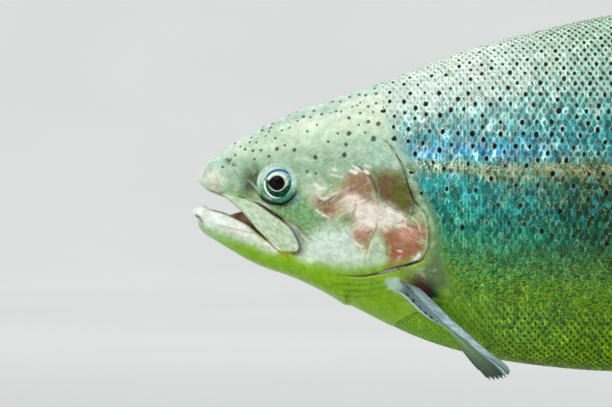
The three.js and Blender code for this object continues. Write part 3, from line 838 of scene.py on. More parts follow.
def spot_nearness(points):
    """1 in the middle of the coat's nearest spot and 0 at its edge or beyond, under the scales."""
    near = np.zeros(len(points))
    arc = unrolled(points)
    for side in (-1, 1):
        spotted = SPOTS[side] > 0
        place, root_arc, _ = ROOTS[spotted].T
        tree = KDTree(spotted.sum())
        for i, at in enumerate(zip(place * PERCENT, root_arc)):
            tree.insert((*at, 0), i)
        tree.balance()
        chosen = np.flatnonzero((points[:, 1] * side > 0) & (points[:, 0] > 15 * PERCENT))
        for i in chosen:
            gap = tree.find((points[i, 0], arc[i], 0))[2]
            near[i] = max(0, 1 - gap / 1.5)
    return near


# ---------------------------------------------------------------------------------------------------
# Materials
# ---------------------------------------------------------------------------------------------------


def rgb(red, green, blue):
    """A linear colour from its 0 to 255 values."""
    parts = [v / 255 for v in (red, green, blue)]
    return tuple(v / 12.92 if v <= 0.04045 else ((v + 0.055) / 1.055) ** 2.4 for v in parts) + (1.0,)


class Nodes:
    """Short names for the shader nodes of one material."""

    def __init__(self, name):
        self.material = bpy.data.materials.new(name)
        self.material.use_nodes = True
        self.tree = self.material.node_tree
        self.shader = self.tree.nodes["Principled BSDF"]

    def new(self, kind, inputs=(), **settings):
        node = self.tree.nodes.new(kind)
        for key, value in settings.items():
            setattr(node, key, value)
        for key, value in dict(inputs).items():
            self.put(node.inputs[key], value)
        return node

    def put(self, socket, value):
        if isinstance(value, bpy.types.NodeSocket):
            self.tree.links.new(value, socket)
        elif value is not None:
            socket.default_value = value

    def math(self, operation, a, b=None, c=None):
        return self.new("ShaderNodeMath", {0: a, 1: b, 2: c}, operation=operation).outputs[0]

    def times(self, a, b):
        return self.math("MULTIPLY", a, b)

    def apart(self, a, b):
        return self.math("ABSOLUTE", self.math("SUBTRACT", a, b))

    def shaken(self, value, noise, amount):
        """A value moved up and down by a noise."""
        return self.math("MULTIPLY_ADD", self.math("SUBTRACT", noise, 0.5), amount, value)

    def vector(self, operation, a, b=None, scale=None):
        node = self.new("ShaderNodeVectorMath", {0: a, 1: b, 3: scale}, operation=operation)
        return node.outputs["Value" if operation in ("LENGTH", "DISTANCE", "DOT_PRODUCT") else "Vector"]

    def field(self, name, output="Fac"):
        return self.new("ShaderNodeAttribute", attribute_name=name).outputs[output]

    def place(self):
        return self.new("ShaderNodeTexCoord").outputs["Object"]

    def axes(self, vector):
        return self.new("ShaderNodeSeparateXYZ", {0: vector}).outputs

    def mapped(self, vector, scale=(1, 1, 1), location=(0, 0, 0), rotation=(0, 0, 0), kind="POINT"):
        inputs = {0: vector, "Location": location, "Rotation": rotation, "Scale": scale}
        return self.new("ShaderNodeMapping", inputs, vector_type=kind).outputs[0]

    def noise(self, vector, scale, detail=2, roughness=0.5, output=0):
        inputs = {"Vector": vector, "Scale": scale, "Detail": detail, "Roughness": roughness}
        return self.new("ShaderNodeTexNoise", inputs).outputs[output]

    def strokes(self, vector, length, slope, *settings):
        """Noise drawn out into strokes that fall to the rear by a slope in radians."""
        longer = self.mapped(vector, (length, 1, 1), rotation=(0, slope, 0), kind="TEXTURE")
        return self.noise(longer, *settings)

    def cells(self, vector, scale, randomness=1.0, flat=False):
        inputs = {"Vector": vector, "Scale": scale, "Randomness": randomness}
        return self.new("ShaderNodeTexVoronoi", inputs, voronoi_dimensions="2D" if flat else "3D").outputs

    def range(self, value, low, high, start=0.0, end=1.0, kind="SMOOTHSTEP"):
        inputs = {0: value, 1: low, 2: high, 3: start, 4: end}
        return self.new("ShaderNodeMapRange", inputs, interpolation_type=kind).outputs[0]

    def linear(self, *limits):
        return self.range(*limits, kind="LINEAR")

    def mix(self, share, a, b, blend="MIX"):
        node = self.new("ShaderNodeMix", {0: share, 6: a, 7: b}, data_type="RGBA", blend_type=blend)
        return node.outputs[2]

    def tinted(self, colour, tint):
        return self.mix(1.0, colour, tint, "MULTIPLY")

    def toned(self, colour, tone):
        """A colour made lighter or darker by a factor."""
        grey = self.new("ShaderNodeCombineXYZ", {0: tone, 1: tone, 2: tone}).outputs[0]
        return self.tinted(colour, grey)

    def ramp(self, value, stops):
        node = self.new("ShaderNodeValToRGB", {0: value})
        elements = node.color_ramp.elements
        while len(elements) < len(stops):
            elements.new(0.5)
        for element, (at, colour) in zip(elements, stops):
            element.position, element.color = at, colour
        return node.outputs[0]

    def bump(self, height, distance, strength=1.0, normal=None):
        inputs = {"Height": height, "Distance": distance, "Strength": strength, "Normal": normal}
        return self.new("ShaderNodeBump", inputs).outputs[0]

    def finish(self, colour, roughness, normal=None, **constants):
        self.put(self.shader.inputs["Base Color"], colour)
        self.put(self.shader.inputs["Roughness"], roughness)
        self.put(self.shader.inputs["Normal"], normal)
        for key, value in constants.items():
            self.shader.inputs[key.replace("_", " ")].default_value = value
        return self.material


def girth_stops(colours):
    """Ramp stops from (girth, red, green, blue)."""
    return [((g + 1) / 2, rgb(*c)) for g, *c in colours]


# From the belly to the back: the edges of the scales and their middles, behind the gills and under the back
# fin, and the far rear of the fish. In the first four the pale back is partly a painted reflection of light
# from above, and the lime belly partly painted greenish light from below.
RIM_COLOURS = girth_stops([
    (-1, 146, 206, 20), (-0.85, 200, 236, 98), (-0.65, 126, 182, 68), (-0.5, 90, 172, 106),
    (-0.35, 73, 174, 134),
    (-0.2, 67, 189, 167), (-0.06, 109, 195, 206), (0, 206, 217, 177), (0.06, 194, 242, 231),
    (0.15, 181, 233, 249),
    (0.3, 196, 228, 216), (0.48, 224, 242, 230), (0.7, 240, 248, 240), (1, 244, 252, 240),
])
MIDDLE_COLOURS = girth_stops([
    (-1, 136, 194, 6), (-0.85, 140, 232, 88), (-0.65, 54, 145, 43), (-0.5, 10, 136, 79), (-0.35, 1, 125, 97),
    (-0.2, 0, 115, 104), (-0.06, 17, 137, 118), (0, 41, 113, 76), (0.06, 27, 123, 115), (0.15, 22, 136, 190),
    (0.3, 13, 146, 155), (0.48, 103, 185, 185), (0.62, 206, 238, 222), (1, 222, 246, 226),
])
LATER_RIMS = girth_stops([
    (-1, 200, 244, 34), (-0.85, 176, 226, 18), (-0.65, 136, 180, 37), (-0.5, 104, 156, 88),
    (-0.35, 80, 130, 92),
    (-0.2, 69, 113, 76), (-0.06, 118, 122, 81), (0, 148, 162, 126), (0.06, 161, 180, 146),
    (0.15, 158, 204, 195),
    (0.3, 182, 230, 223), (0.48, 206, 237, 224), (0.7, 227, 249, 226), (1, 224, 240, 218),
])
LATER_MIDDLES = girth_stops([
    (-1, 146, 206, 4), (-0.85, 96, 158, 2), (-0.65, 60, 124, 7), (-0.5, 27, 104, 44), (-0.35, 6, 82, 50),
    (-0.2, 2, 65, 40), (-0.06, 42, 83, 55), (0, 78, 108, 75), (0.06, 70, 116, 88), (0.15, 30, 119, 119),
    (0.3, 12, 122, 120), (0.48, 70, 158, 150), (0.7, 158, 204, 184), (1, 164, 202, 172),
])
FAR_COLOURS = girth_stops([
    (-1, 128, 150, 76), (-0.93, 104, 138, 56), (-0.75, 84, 122, 50), (-0.6, 74, 110, 54),
    (-0.42, 64, 100, 66),
    (-0.22, 84, 98, 72), (-0.07, 138, 100, 78), (0.0, 148, 98, 80), (0.1, 120, 112, 92), (0.3, 90, 130, 118),
    (0.52, 96, 138, 122), (0.7, 104, 142, 118), (0.88, 106, 138, 112), (1, 96, 124, 98),
])
SPOT = rgb(0, 14, 12)


def spots_in(n, flat, cell, share, small, large):
    """Round spots scattered over the unrolled skin, one to a cell at most. Radii are in cells."""
    cells = n.cells(flat, 1 / cell, 0.8, flat=True)
    chance, size, _ = n.axes(cells["Color"])
    edge = n.math("SUBTRACT", cells["Distance"], n.linear(size, 0, 1, small, large))
    return n.times(n.range(edge, -0.05, 0.05, 1, 0), n.math("LESS_THAN", chance, share))


def markings(n, middles):
    """The trunk's colours, shared by the skin and the scales. middles is the share of middle colour."""
    place = n.place()
    head, tail = world((0, 0, 0))[0], world((STANDARD_LENGTH, 0, 0))[0]
    along = n.linear(n.axes(place)[0], head, tail, 0, 100)
    drift = n.math("SUBTRACT", n.noise(place, 40, 3), 0.5)
    girth_here = n.field("girth")
    level = n.linear(n.math("MULTIPLY_ADD", drift, 0.16, girth_here), -1, 1)
    colour = n.mix(middles, n.ramp(level, RIM_COLOURS), n.ramp(level, MIDDLE_COLOURS))
    later = n.mix(middles, n.ramp(level, LATER_RIMS), n.ramp(level, LATER_MIDDLES))
    colour = n.mix(n.linear(along, 23, 32), colour, later)
    far = n.ramp(level, FAR_COLOURS)
    edges = n.math("MULTIPLY_ADD", middles, -0.28, 0.28)
    colour = n.mix(n.range(along, 38, 58), colour, n.mix(edges, far, rgb(206, 216, 190)))
    return SimpleNamespace(place=place, along=along, girth=girth_here, colour=colour)


class Area:
    """A part of the head with its own colour, inside a closed line in the side view in percent."""

    def __init__(self, name, colour, strength, soft, outline, worn=False):
        self.name, self.colour, self.strength, self.soft, self.worn = name, rgb(*colour), strength, soft, worn
        self.outline = drawn(outline + outline[:1], 3)


class Line:
    """A painted line in the side view: offset and half width in mm, and its strength along it."""

    def __init__(self, name, colour, half, offset, strengths, points):
        self.name, self.colour, self.half = name, rgb(*colour), half
        self.offset, self.strengths = offset, strengths
        self.line = points if isinstance(points, np.ndarray) else drawn(points, 4)


HEAD_AREAS = [
    Area("temple", (164, 198, 164), 0.75, 2.5, [
        (8.6, 2.4), (11.1, 3.0), (13.1, 3.2), (14.4, 2.6), (13.5, 2.1), (12.4, 1.6), (11.2, 0.8), (9.4, 0.3),
        (8.4, 1.2),
    ]),
    Area("cover_top", (180, 216, 192), 0.8, 2.5, [
        (14.2, 4.8), (15.7, 4.6), (16.5, 3.5), (16.9, 2.4), (15.7, 2.4), (14.2, 2.3), (13.6, 3.4),
    ]),
    Area("cheek_green", (136, 182, 126), 0.9, 3.0, [
        (4.9, -0.8), (6.2, -0.2), (7.8, 0.1), (9.1, -0.2), (9.8, -0.6), (10.7, -1.4), (11.3, -2.2),
        (9.7, -3.0), (8.8, -3.2), (7.9, -2.2), (6.2, -1.3),
    ]),
    Area("silver", (236, 254, 240), 0.95, 3.5, [
        (8.6, -3.6), (10.1, -2.7), (11.5, -2.2), (12.4, -2.1), (13.1, -2.9), (13.6, -4.0), (14.1, -4.9),
        (13.5, -5.5), (12.2, -5.6), (10.8, -5.3), (9.1, -5.0),
    ]),
    Area("blush", (214, 178, 152), 0.9, 2.2, [
        (9.7, 0.1), (10.9, 0.4), (11.6, 1.1), (12.4, 2.0), (13.4, 2.2), (14.3, 1.6), (14.8, 0.5),
        (15.0, -0.9), (15.0, -2.6), (14.5, -3.7), (13.9, -4.3), (13.1, -3.9), (12.8, -3.2), (13.0, -2.1),
        (12.8, -0.9), (12.2, -1.5), (11.5, -1.8), (10.6, -1.3), (9.8, -0.5),
    ], True),
    Area("brown", (112, 78, 34), 0.95, 2.4, [
        (14.8, 2.2), (15.7, 2.3), (16.9, 2.1), (17.5, 1.1), (17.9, -0.2), (17.8, -1.3), (16.9, -1.4),
        (16.3, -0.9), (15.3, -0.4), (14.9, 0.1), (14.7, 1.1),
    ]),
    Area("coral", (172, 104, 72), 0.95, 2.4, [
        (15.3, -2.6), (16.5, -2.4), (17.6, -1.9), (18.6, -1.9), (18.9, -2.6), (18.8, -4.0), (18.2, -5.0),
        (17.4, -5.2), (16.0, -5.4), (15.7, -4.6), (15.4, -3.5),
    ]),
    Area("gleam", (255, 240, 226), 0.97, 2.2, [
        (12.3, 0.1), (13.1, 0.4), (14.6, -0.2), (15.0, -0.6), (16.0, -0.7), (17.1, -1.5), (17.3, -2.0),
        (16.5, -2.3), (15.7, -2.4), (15.0, -2.6), (14.6, -2.6), (14.1, -3.2), (13.4, -2.5), (13.0, -1.5),
        (12.4, -0.9),
    ]),
    Area("coral_shine", (226, 176, 148), 0.8, 2.4, [
        (16.6, -2.7), (17.5, -2.3), (18.2, -2.6), (17.9, -3.5), (17.0, -3.6),
    ], True),
    # A painted highlight at the corner of the mouth, over the shade of its slit.
    Area("corner", (244, 252, 242), 0.9, 2.0, [
        (7.9, -4.3), (8.6, -4.0), (9.4, -4.4), (10.2, -5.0), (9.4, -5.3), (8.4, -5.0),
    ]),
    Area("left_brown", (150, 104, 78), 0.85, 1.6, [
        (9.68, -0.28), (10.34, 0.15), (11.22, -0.07), (11.98, 0.37), (12.2, 0.04), (11.65, -0.5),
        (11.54, -1.16), (11.11, -1.82), (10.23, -1.16), (9.79, -0.72),
    ], True),
    Area("upper_brown", (156, 116, 80), 0.9, 1.8, [
        (12.31, 1.68), (13.18, 2.07), (14.06, 1.79), (14.55, 1.14), (14.77, 0.04), (14.72, -0.28),
        (13.84, -0.07), (12.97, 0.37), (12.2, 0.48),
    ]),
    Area("moss", (94, 98, 12), 0.9, 2.0, [
        (16.25, 1.47), (17.23, 1.68), (17.67, 0.37), (17.89, -0.72), (17.56, -1.16), (16.69, -0.61),
        (16.14, 0.37),
    ]),
    Area("moss_edge", (126, 146, 84), 0.8, 1.6, [
        (14.28, 2.29), (15.15, 2.45), (16.69, 2.12), (16.9, 1.79), (15.59, 1.88), (14.72, 1.88),
    ]),
    Area("small_brown", (172, 112, 82), 0.8, 1.4, [
        (13.24, -2.8), (13.84, -2.64), (14.5, -2.8), (14.33, -3.57), (13.73, -3.89), (13.29, -3.35),
    ]),
    Area("cream", (236, 240, 220), 0.75, 2.0, [
        (8.92, 0.59), (9.57, 1.08), (10.78, 0.97), (11.11, 0.48), (10.23, 0.21), (9.25, 0.15),
    ], True),
    Area("fold_shade", (130, 136, 92), 0.75, 1.4, [
        (11.76, -1.71), (12.31, -1.27), (12.97, -1.38), (12.97, -2.04), (12.2, -2.14),
    ]),
    Area("left_moss", (128, 146, 78), 0.7, 1.4, [
        (10.67, 1.36), (11.43, 1.63), (12.2, 1.36), (11.87, 0.7), (11.22, 0.59),
    ], True),
    Area("snout_glow", (248, 240, 218), 0.75, 3.0, [
        (0.55, 1.35), (1.11, 2.18), (1.8, 2.04), (2.21, 1.63), (2.08, 0.94), (1.25, 0.8), (0.69, 0.87),
    ]),
    Area("mouth_side", (120, 78, 54), 0.95, 0.8, [
        (2.59, -1.17), (3.59, -1.17), (4.28, -1.7), (4.98, -2.53), (5.67, -3.5), (5.32, -3.57),
        (4.56, -2.81), (3.73, -1.84), (2.9, -1.35),
    ]),
    # The jaw's knob, white, with a painted highlight on it.
    Area("knob_white_highlight", (255, 255, 255), 0.9, 1.2, [
        (-0.5, -0.87), (-0.04, -0.66), (0.59, -0.8), (0.56, -1.18), (0.1, -1.46), (-0.42, -1.4),
    ]),
    Area("triangle", (206, 228, 196), 0.9, 1.2, [
        (14.5, -3.1), (15.1, -3.2), (15.6, -4.0), (15.7, -5.3), (14.6, -5.6), (13.9, -5.5), (14.2, -4.3),
    ]),
    # The lime under the head is partly painted greenish light from below.
    Area("throat", (134, 186, 4), 0.98, 4.2, [
        (-0.4, -2.2), (0.7, -2.9), (4.4, -4.2), (7.3, -5.1), (9.2, -5.7), (11.6, -6.3), (14.7, -6.2),
        (16.7, -6.0), (16.2, -6.9), (16.7, -8.5), (17.7, -10.9), (20.2, -13.4), (16.9, -16.8),
        (11.1, -13.4), (5.3, -10.1), (0.3, -6.0),
    ]),
    Area("jaw_white", (248, 254, 246), 0.95, 2.4, [
        (-0.6, -1.0), (0.1, -0.3), (0.8, -0.4), (2.3, -0.8), (3.5, -1.2), (4.3, -1.8), (4.9, -2.4),
        (5.7, -3.3), (7.0, -4.2), (6.6, -4.5), (5.3, -4.1), (4.1, -3.55), (2.7, -3.0), (1.5, -2.6),
        (0.6, -2.15), (0.2, -1.6),
    ]),
    Area("olive", (158, 154, 36), 0.9, 0.7, [
        (15.6, -5.5), (16.6, -5.35), (17.5, -5.15), (17.9, -5.2), (17.4, -5.5), (16.6, -5.8), (15.6, -6.0),
    ]),
    # Painted shade in the dip in front of the eye.
    Area("hollow_shade", (62, 76, 52), 0.9, 2.2, [
        (3.7, 2.2), (4.5, 2.6), (5.2, 2.2), (5.15, 1.0), (4.7, 0.5), (4.0, 0.5), (3.6, 1.2),
    ]),
    Area("shoulder", (88, 108, 74), 0.85, 2.0, [
        (17.6, 2.4), (18.5, 0.4), (19.4, -1.0), (19.6, -2.8), (19.5, -4.5), (18.9, -5.6), (17.9, -6.2),
        (18.6, -7.2), (20.9, -7.4), (21.2, -4.0), (20.8, -1.0), (19.5, 1.5), (18.3, 3.2),
    ]),
    Area("cyan", (58, 148, 176), 0.85, 1.4, [(7.7, -0.1), (8.3, 0.2), (8.8, 0.2), (8.5, -0.3), (7.9, -0.5)]),
]
HEAD_LINES = [
    # A painted shadow just behind the gill cover's edge, where the cover overlaps the body.
    Line("gill_edge_shadow", (30, 42, 30), 0.4, 0.4, [
        (0, 0), (0.08, 0.4), (0.14, 0.7), (0.26, 1), (0.36, 1), (0.43, 0.25), (0.66, 0.2), (0.72, 0.8),
        (0.92, 0.9), (1, 0.2),
    ], GILL_EDGE),
    Line("gill_rim", (226, 236, 222), 0.5, -0.6, [
        (0, 0), (0.35, 0), (0.48, 0.4), (0.74, 0.3), (0.85, 0),
    ], GILL_EDGE),
    Line("under_gill", (206, 226, 120), 0.55, 1.3, [
        (0, 0), (0.66, 0), (0.74, 0.85), (0.9, 0.7), (1, 0),
    ], GILL_EDGE),
    Line("knob_notch", (112, 96, 58), 0.5, 0, [(0, 0.5), (0.5, 0.8), (1, 0.3)], KNOB_NOTCH),
    Line("cheek_edge", (74, 58, 38), 0.42, 0.1, [
        (0, 0.2), (0.1, 0.85), (0.4, 0.8), (0.5, 0.3), (0.7, 0.5), (0.8, 0.1), (1, 0),
    ], CHEEK_EDGE),
    Line("cheek_gleam", (250, 246, 226), 0.7, -0.9, [(0, 0.6), (0.1, 0.9), (0.2, 0)], CHEEK_EDGE),
    Line("cheek_low", (164, 160, 66), 0.7, -0.1, [(0, 0), (0.68, 0), (0.8, 0.75), (1, 0.8)], CHEEK_EDGE),
    Line("seam", (86, 50, 40), 0.4, 0, [(0, 0.7), (0.6, 0.6), (1, 0)], [
        (17.7, 0.2), (17.9, -0.4), (17.8, -1.3), (17.5, -1.8), (17.0, -2.0), (16.0, -2.1),
    ]),
    Line("maxilla_groove", (92, 40, 34), 0.6, 0.5, [(0, 0.5), (0.1, 1), (0.5, 1), (0.62, 0)], MAXILLA_TOP),
    Line("maxilla_strip", (222, 222, 242), 0.75, 0.6, [
        (0, 0), (0.5, 0), (0.64, 0.95), (1, 0.9),
    ], MAXILLA_TOP),
    # A painted highlight along the maxilla's upper edge.
    Line("maxilla_top_highlight", (240, 246, 222), 0.55, -0.5, [(0, 0.8), (1, 0.5)], MAXILLA_TOP),
    # A painted shadow under the gill cover's lower edge.
    Line("gill_low_shadow", (16, 34, 20), 0.75, 0, [(0, 0), (0.3, 0.85), (1, 0.9)], [
        (14.5, -6.41), (15.4, -6.17), (16.38, -5.92), (17.29, -5.63), (18.19, -5.26),
    ]),
    Line("snout_lip", (186, 124, 80), 0.55, 0, [(0, 0.3), (0.3, 0.9), (1, 0.8)], [
        (0.22, 1.16), (0.47, 0.84), (1.03, 0.6), (1.59, 0.42), (2.15, 0.18),
    ]),
    Line("maxilla_fold", (204, 218, 190), 0.5, 0, [(0, 0), (0.2, 0.8), (1, 0.7)], [
        (7.7, -2.0), (8.5, -2.7), (8.95, -3.4), (9.05, -4.1),
    ]),
    Line("snout_rim", (255, 246, 242), 0.75, 0, [(0, 0), (0.1, 0.8), (0.85, 0.9), (1, 0.3)], [
        (1.71, 3.9), (1.15, 3.34), (0.62, 2.7), (0.31, 2.14), (0.2, 1.51), (0.28, 1.02),
    ]),
    Line("gum", (150, 98, 66), 0.5, 0, [(0, 0.2), (0.2, 0.8), (1, 0.9)], [
        (0.73, -0.8), (1.36, -1.03), (2.19, -1.25), (2.88, -1.17), (3.58, -1.09), (4.0, -1.17),
    ]),
    Line("lip", (170, 112, 58), 0.5, 0, [(0, 0.9), (0.4, 0.7), (0.5, 0.4), (0.6, 0.9), (1, 0.9)], [
        (0.15, 0.95), (0.4, 0.7), (0.75, 0.45), (1.4, 0.15), (2.2, -0.02), (2.6, -0.3), (3.8, -1.4),
        (4.6, -2.45), (5.8, -3.5), (6.85, -4.45), (8.2, -4.7),
    ]),
    Line("jaw_crease", (196, 172, 128), 0.5, 0, [(0, 0), (0.2, 0.6), (1, 0.6)], [
        (1.5, -2.2), (3.8, -2.75), (4.9, -2.9),
    ]),
    # A painted shadow under the eye.
    Line("under_eye_shadow", (8, 14, 12), 1.1, 0, [(0, 0), (0.15, 0.8), (0.6, 1), (1, 0)], [
        (5.3, 0.25), (5.9, -0.22), (6.7, -0.5), (7.5, -0.48), (8.2, -0.1),
    ]),
    # Painted shade in the groove by the nostrils.
    Line("nostril_crease_shade", (96, 112, 70), 0.4, 0, [(0, 0.6), (1, 0.1)], [
        (2.75, 2.7), (3.1, 2.3), (3.5, 1.8), (3.7, 1.2),
    ]),
]


def paint_head(mesh, s, z):
    """Distances to the painted areas and lines of the head, as fields."""
    step = 0.5
    grid_s, grid_z = side_grid(step, -17)
    for area in HEAD_AREAS:
        table = to_outline(area.outline, grid_s[:, None], grid_z[None, :])
        set_field(mesh, area.name, bilinear(table, (s - grid_s[0]) / step, (z - grid_z[0]) / step))
    near = s < 22 * PERCENT
    # Nearness to the folds painted with highlights and to those painted with shade.
    for name, folds in (("fold_highlights", HIGHLIT_FOLDS), ("fold_shadows", SHADED_FOLDS)):
        nearest = np.full(len(s), 9.0)
        strengths = np.zeros(len(s))
        for half, strength, points in folds:
            gap, passed = to_line(drawn(points), s[near], z[near])
            closer = np.abs(gap) / half < nearest[near]
            nearest[near] = np.where(closer, np.abs(gap) / half, nearest[near])
            strengths[near] = np.where(closer, strength * fade_ends(passed, 0.3), strengths[near])
        set_field(mesh, name, np.stack([nearest, strengths, 0 * nearest], 1))
    for line in HEAD_LINES:
        gap = np.full(len(s), 50.0)
        passed = np.zeros(len(s))
        gap[near], passed[near] = to_line(line.line, s[near], z[near])
        set_field(mesh, line.name, np.stack([gap, passed, 0 * gap], 1))


def head_spots(points):
    """Distance to the head's nearest spot over its radius. The right side's lie a little off the left's."""
    nearest = np.full(len(points), 9.0)
    generator = np.random.default_rng(3)
    for side in (-1, 1):
        chosen = np.flatnonzero((points[:, 1] * side >= 0) & (points[:, 0] < 24 * PERCENT))
        here = points[chosen]
        for place, height, radius in HEAD_SPOTS:
            drift = (side > 0) * generator.normal(0, 1.6, 2)
            away = np.hypot(here[:, 0] - place * PERCENT - drift[0], here[:, 2] - height * PERCENT - drift[1])
            centre = here[np.argmin(away - 0.04 * np.abs(here[:, 1]))]
            gap = np.linalg.norm((here - centre) * (1.2, 1, 1), axis=1) / radius
            nearest[chosen] = np.minimum(nearest[chosen], gap)
    return nearest


# The head from the throat to the top: the pale top is partly a painted reflection of light from above, and
# the lime throat partly painted greenish light from below.
HEAD_RAMP = girth_stops([
    (-1, 138, 190, 6), (-0.6, 150, 190, 66), (-0.3, 160, 194, 140), (-0.05, 160, 194, 160),
    (0.25, 184, 212, 182),
    (0.5, 216, 236, 206), (0.8, 226, 242, 218), (1, 214, 240, 226),
])


def head_colour(n, look):
    """The head's own colours. The edges of its areas wander, and each is streaked and mottled."""
    wander = n.math("SUBTRACT", n.noise(look.place, 180, 3, 0.55), 0.5)
    worn = n.range(n.noise(look.place, 120, 3, 0.6), 0.34, 0.64, 0.6, 1)
    cloud = n.noise(look.place, 55, 3, 0.6)
    colour = n.ramp(n.linear(look.girth, -1, 1), HEAD_RAMP)
    snout = n.range(look.along, 0, 4.5, 0.7, 0)
    colour = n.mix(snout, colour, rgb(212, 242, 228))
    upper = n.range(look.girth, 0.05, 0.35)
    colour = n.mix(n.times(n.range(cloud, 0.5, 0.64, 0, 0.5), upper), colour, rgb(236, 240, 216))
    colour = n.mix(n.times(n.range(cloud, 0.48, 0.34, 0, 0.5), upper), colour, rgb(164, 196, 172))
    mottle = n.noise(look.place, 620, 3, 0.65)
    tone = n.linear(n.noise(look.place, 300, 4, 0.7), 0.34, 0.66, 0.8, 1.16)
    gleams = n.noise(n.mapped(look.place, (1.0, 1.0, 1.5), rotation=(0, 0.5, 0)), 150, 4, 0.7)
    for area in HEAD_AREAS:
        edge = n.math("MULTIPLY_ADD", wander, 4 + area.soft * 1.5, n.field(area.name))
        share = n.times(
            n.range(edge, -area.soft * 1.4, area.soft * 1.4, area.strength, 0), worn if area.worn else 1.0,
        )
        colour = n.mix(share, colour, area.colour)
    side = n.times(n.range(look.girth, 0.4, 0.1), n.range(look.girth, -0.85, -0.55))
    mottled = n.times(side, n.range(n.field("cheek_green"), -3, 5, 0.5, 0.12))
    dark = n.times(n.range(mottle, 0.58, 0.36), n.math("ADD", mottled, 0.06))
    colour = n.mix(dark, colour, n.tinted(colour, rgb(120, 160, 110)))
    # A painted sheen in patches, strongest on the sides of the head and faint on the brown area.
    highlight_share = n.range(n.field("brown"), -2.5, 0.5, 0.2, 1)
    light = n.times(n.range(gleams, 0.5, 0.8), n.math("MULTIPLY_ADD", side, 0.45, 0.1))
    light = n.times(light, highlight_share)
    colour = n.mix(light, colour, rgb(240, 244, 232))
    colour = n.toned(colour, tone)
    # Fine strokes, as of brushed foil, that rise to the rear on the cheek and fall on the cover. The pale
    # ones are painted highlights, faint on the brown area.
    strokes = n.mix(
        n.range(look.along, 14.3, 15.3),
        n.strokes(look.place, 5, -0.5, 1000, 3, 0.6),
        n.strokes(look.place, 4, 0.5, 1000, 3, 0.6),
    )
    brushed = n.times(n.range(look.along, 8.5, 10.5), n.range(look.along, 19.6, 18.8))
    brushed = n.times(brushed, n.times(n.range(look.girth, 0.35, 0.2), n.range(look.girth, -0.75, -0.5)))
    colour = n.mix(
        n.times(brushed, n.range(strokes, 0.46, 0.34, 0, 0.32)), colour, n.tinted(colour, rgb(150, 112, 84)),
    )
    colour = n.mix(
        n.times(n.times(brushed, highlight_share), n.range(strokes, 0.54, 0.72, 0, 0.2)), colour, rgb(255, 250, 240),
    )
    broken = n.range(n.noise(look.place, 330, 3, 0.6), 0.3, 0.5, 0.2, 1)
    # The lid: silver above and in front, green below, with flecks of painted highlight, over a painted shadow
    # in the groove below it.
    _, over, far = n.axes(n.field("from_eye", "Vector"))
    far = n.math("MULTIPLY_ADD", wander, 0.8, far)
    ring = n.range(far, 8.6, 9.3, 1, 0)
    lid = n.mix(n.range(over, 0.5, -6.0), rgb(182, 216, 194), rgb(44, 134, 96))
    lid = n.mix(n.range(n.noise(look.place, 420, 2), 0.5, 0.62, 0, 0.5), lid, rgb(240, 248, 236))
    colour = n.mix(n.times(ring, 0.95), colour, lid)
    # A painted shadow in the groove under the lid.
    furrow_shadow = n.apart(far, 9.5)
    furrow_shadow = n.times(n.range(furrow_shadow, 0.2, 1.0, 1, 0), n.range(over, -2.6, -6.0, 0, 0.95))
    colour = n.mix(furrow_shadow, colour, rgb(12, 22, 20))
    for line in HEAD_LINES:
        gap, passed, _ = n.axes(n.field(line.name, "Vector"))
        off = n.apart(n.math("MULTIPLY_ADD", wander, 0.5, gap), line.offset)
        strength = n.ramp(passed, [(at, (v, v, v, 1)) for at, v in line.strengths])
        share = n.times(n.range(off, line.half * 0.3, line.half * 1.4, 1, 0), strength)
        colour = n.mix(n.times(share, broken), colour, line.colour)
    shaken = n.times(wander, 1.6)
    # Painted shade along the sunken folds and painted highlights along the raised ones.
    for name, paint in (("fold_shadows", rgb(78, 62, 40)), ("fold_highlights", rgb(255, 250, 238))):
        off, strength, _ = n.axes(n.field(name, "Vector"))
        share = n.times(n.range(n.math("ADD", off, shaken), 0.3, 1.6, 1, 0), strength)
        colour = n.mix(n.times(share, broken), colour, paint)
    return colour


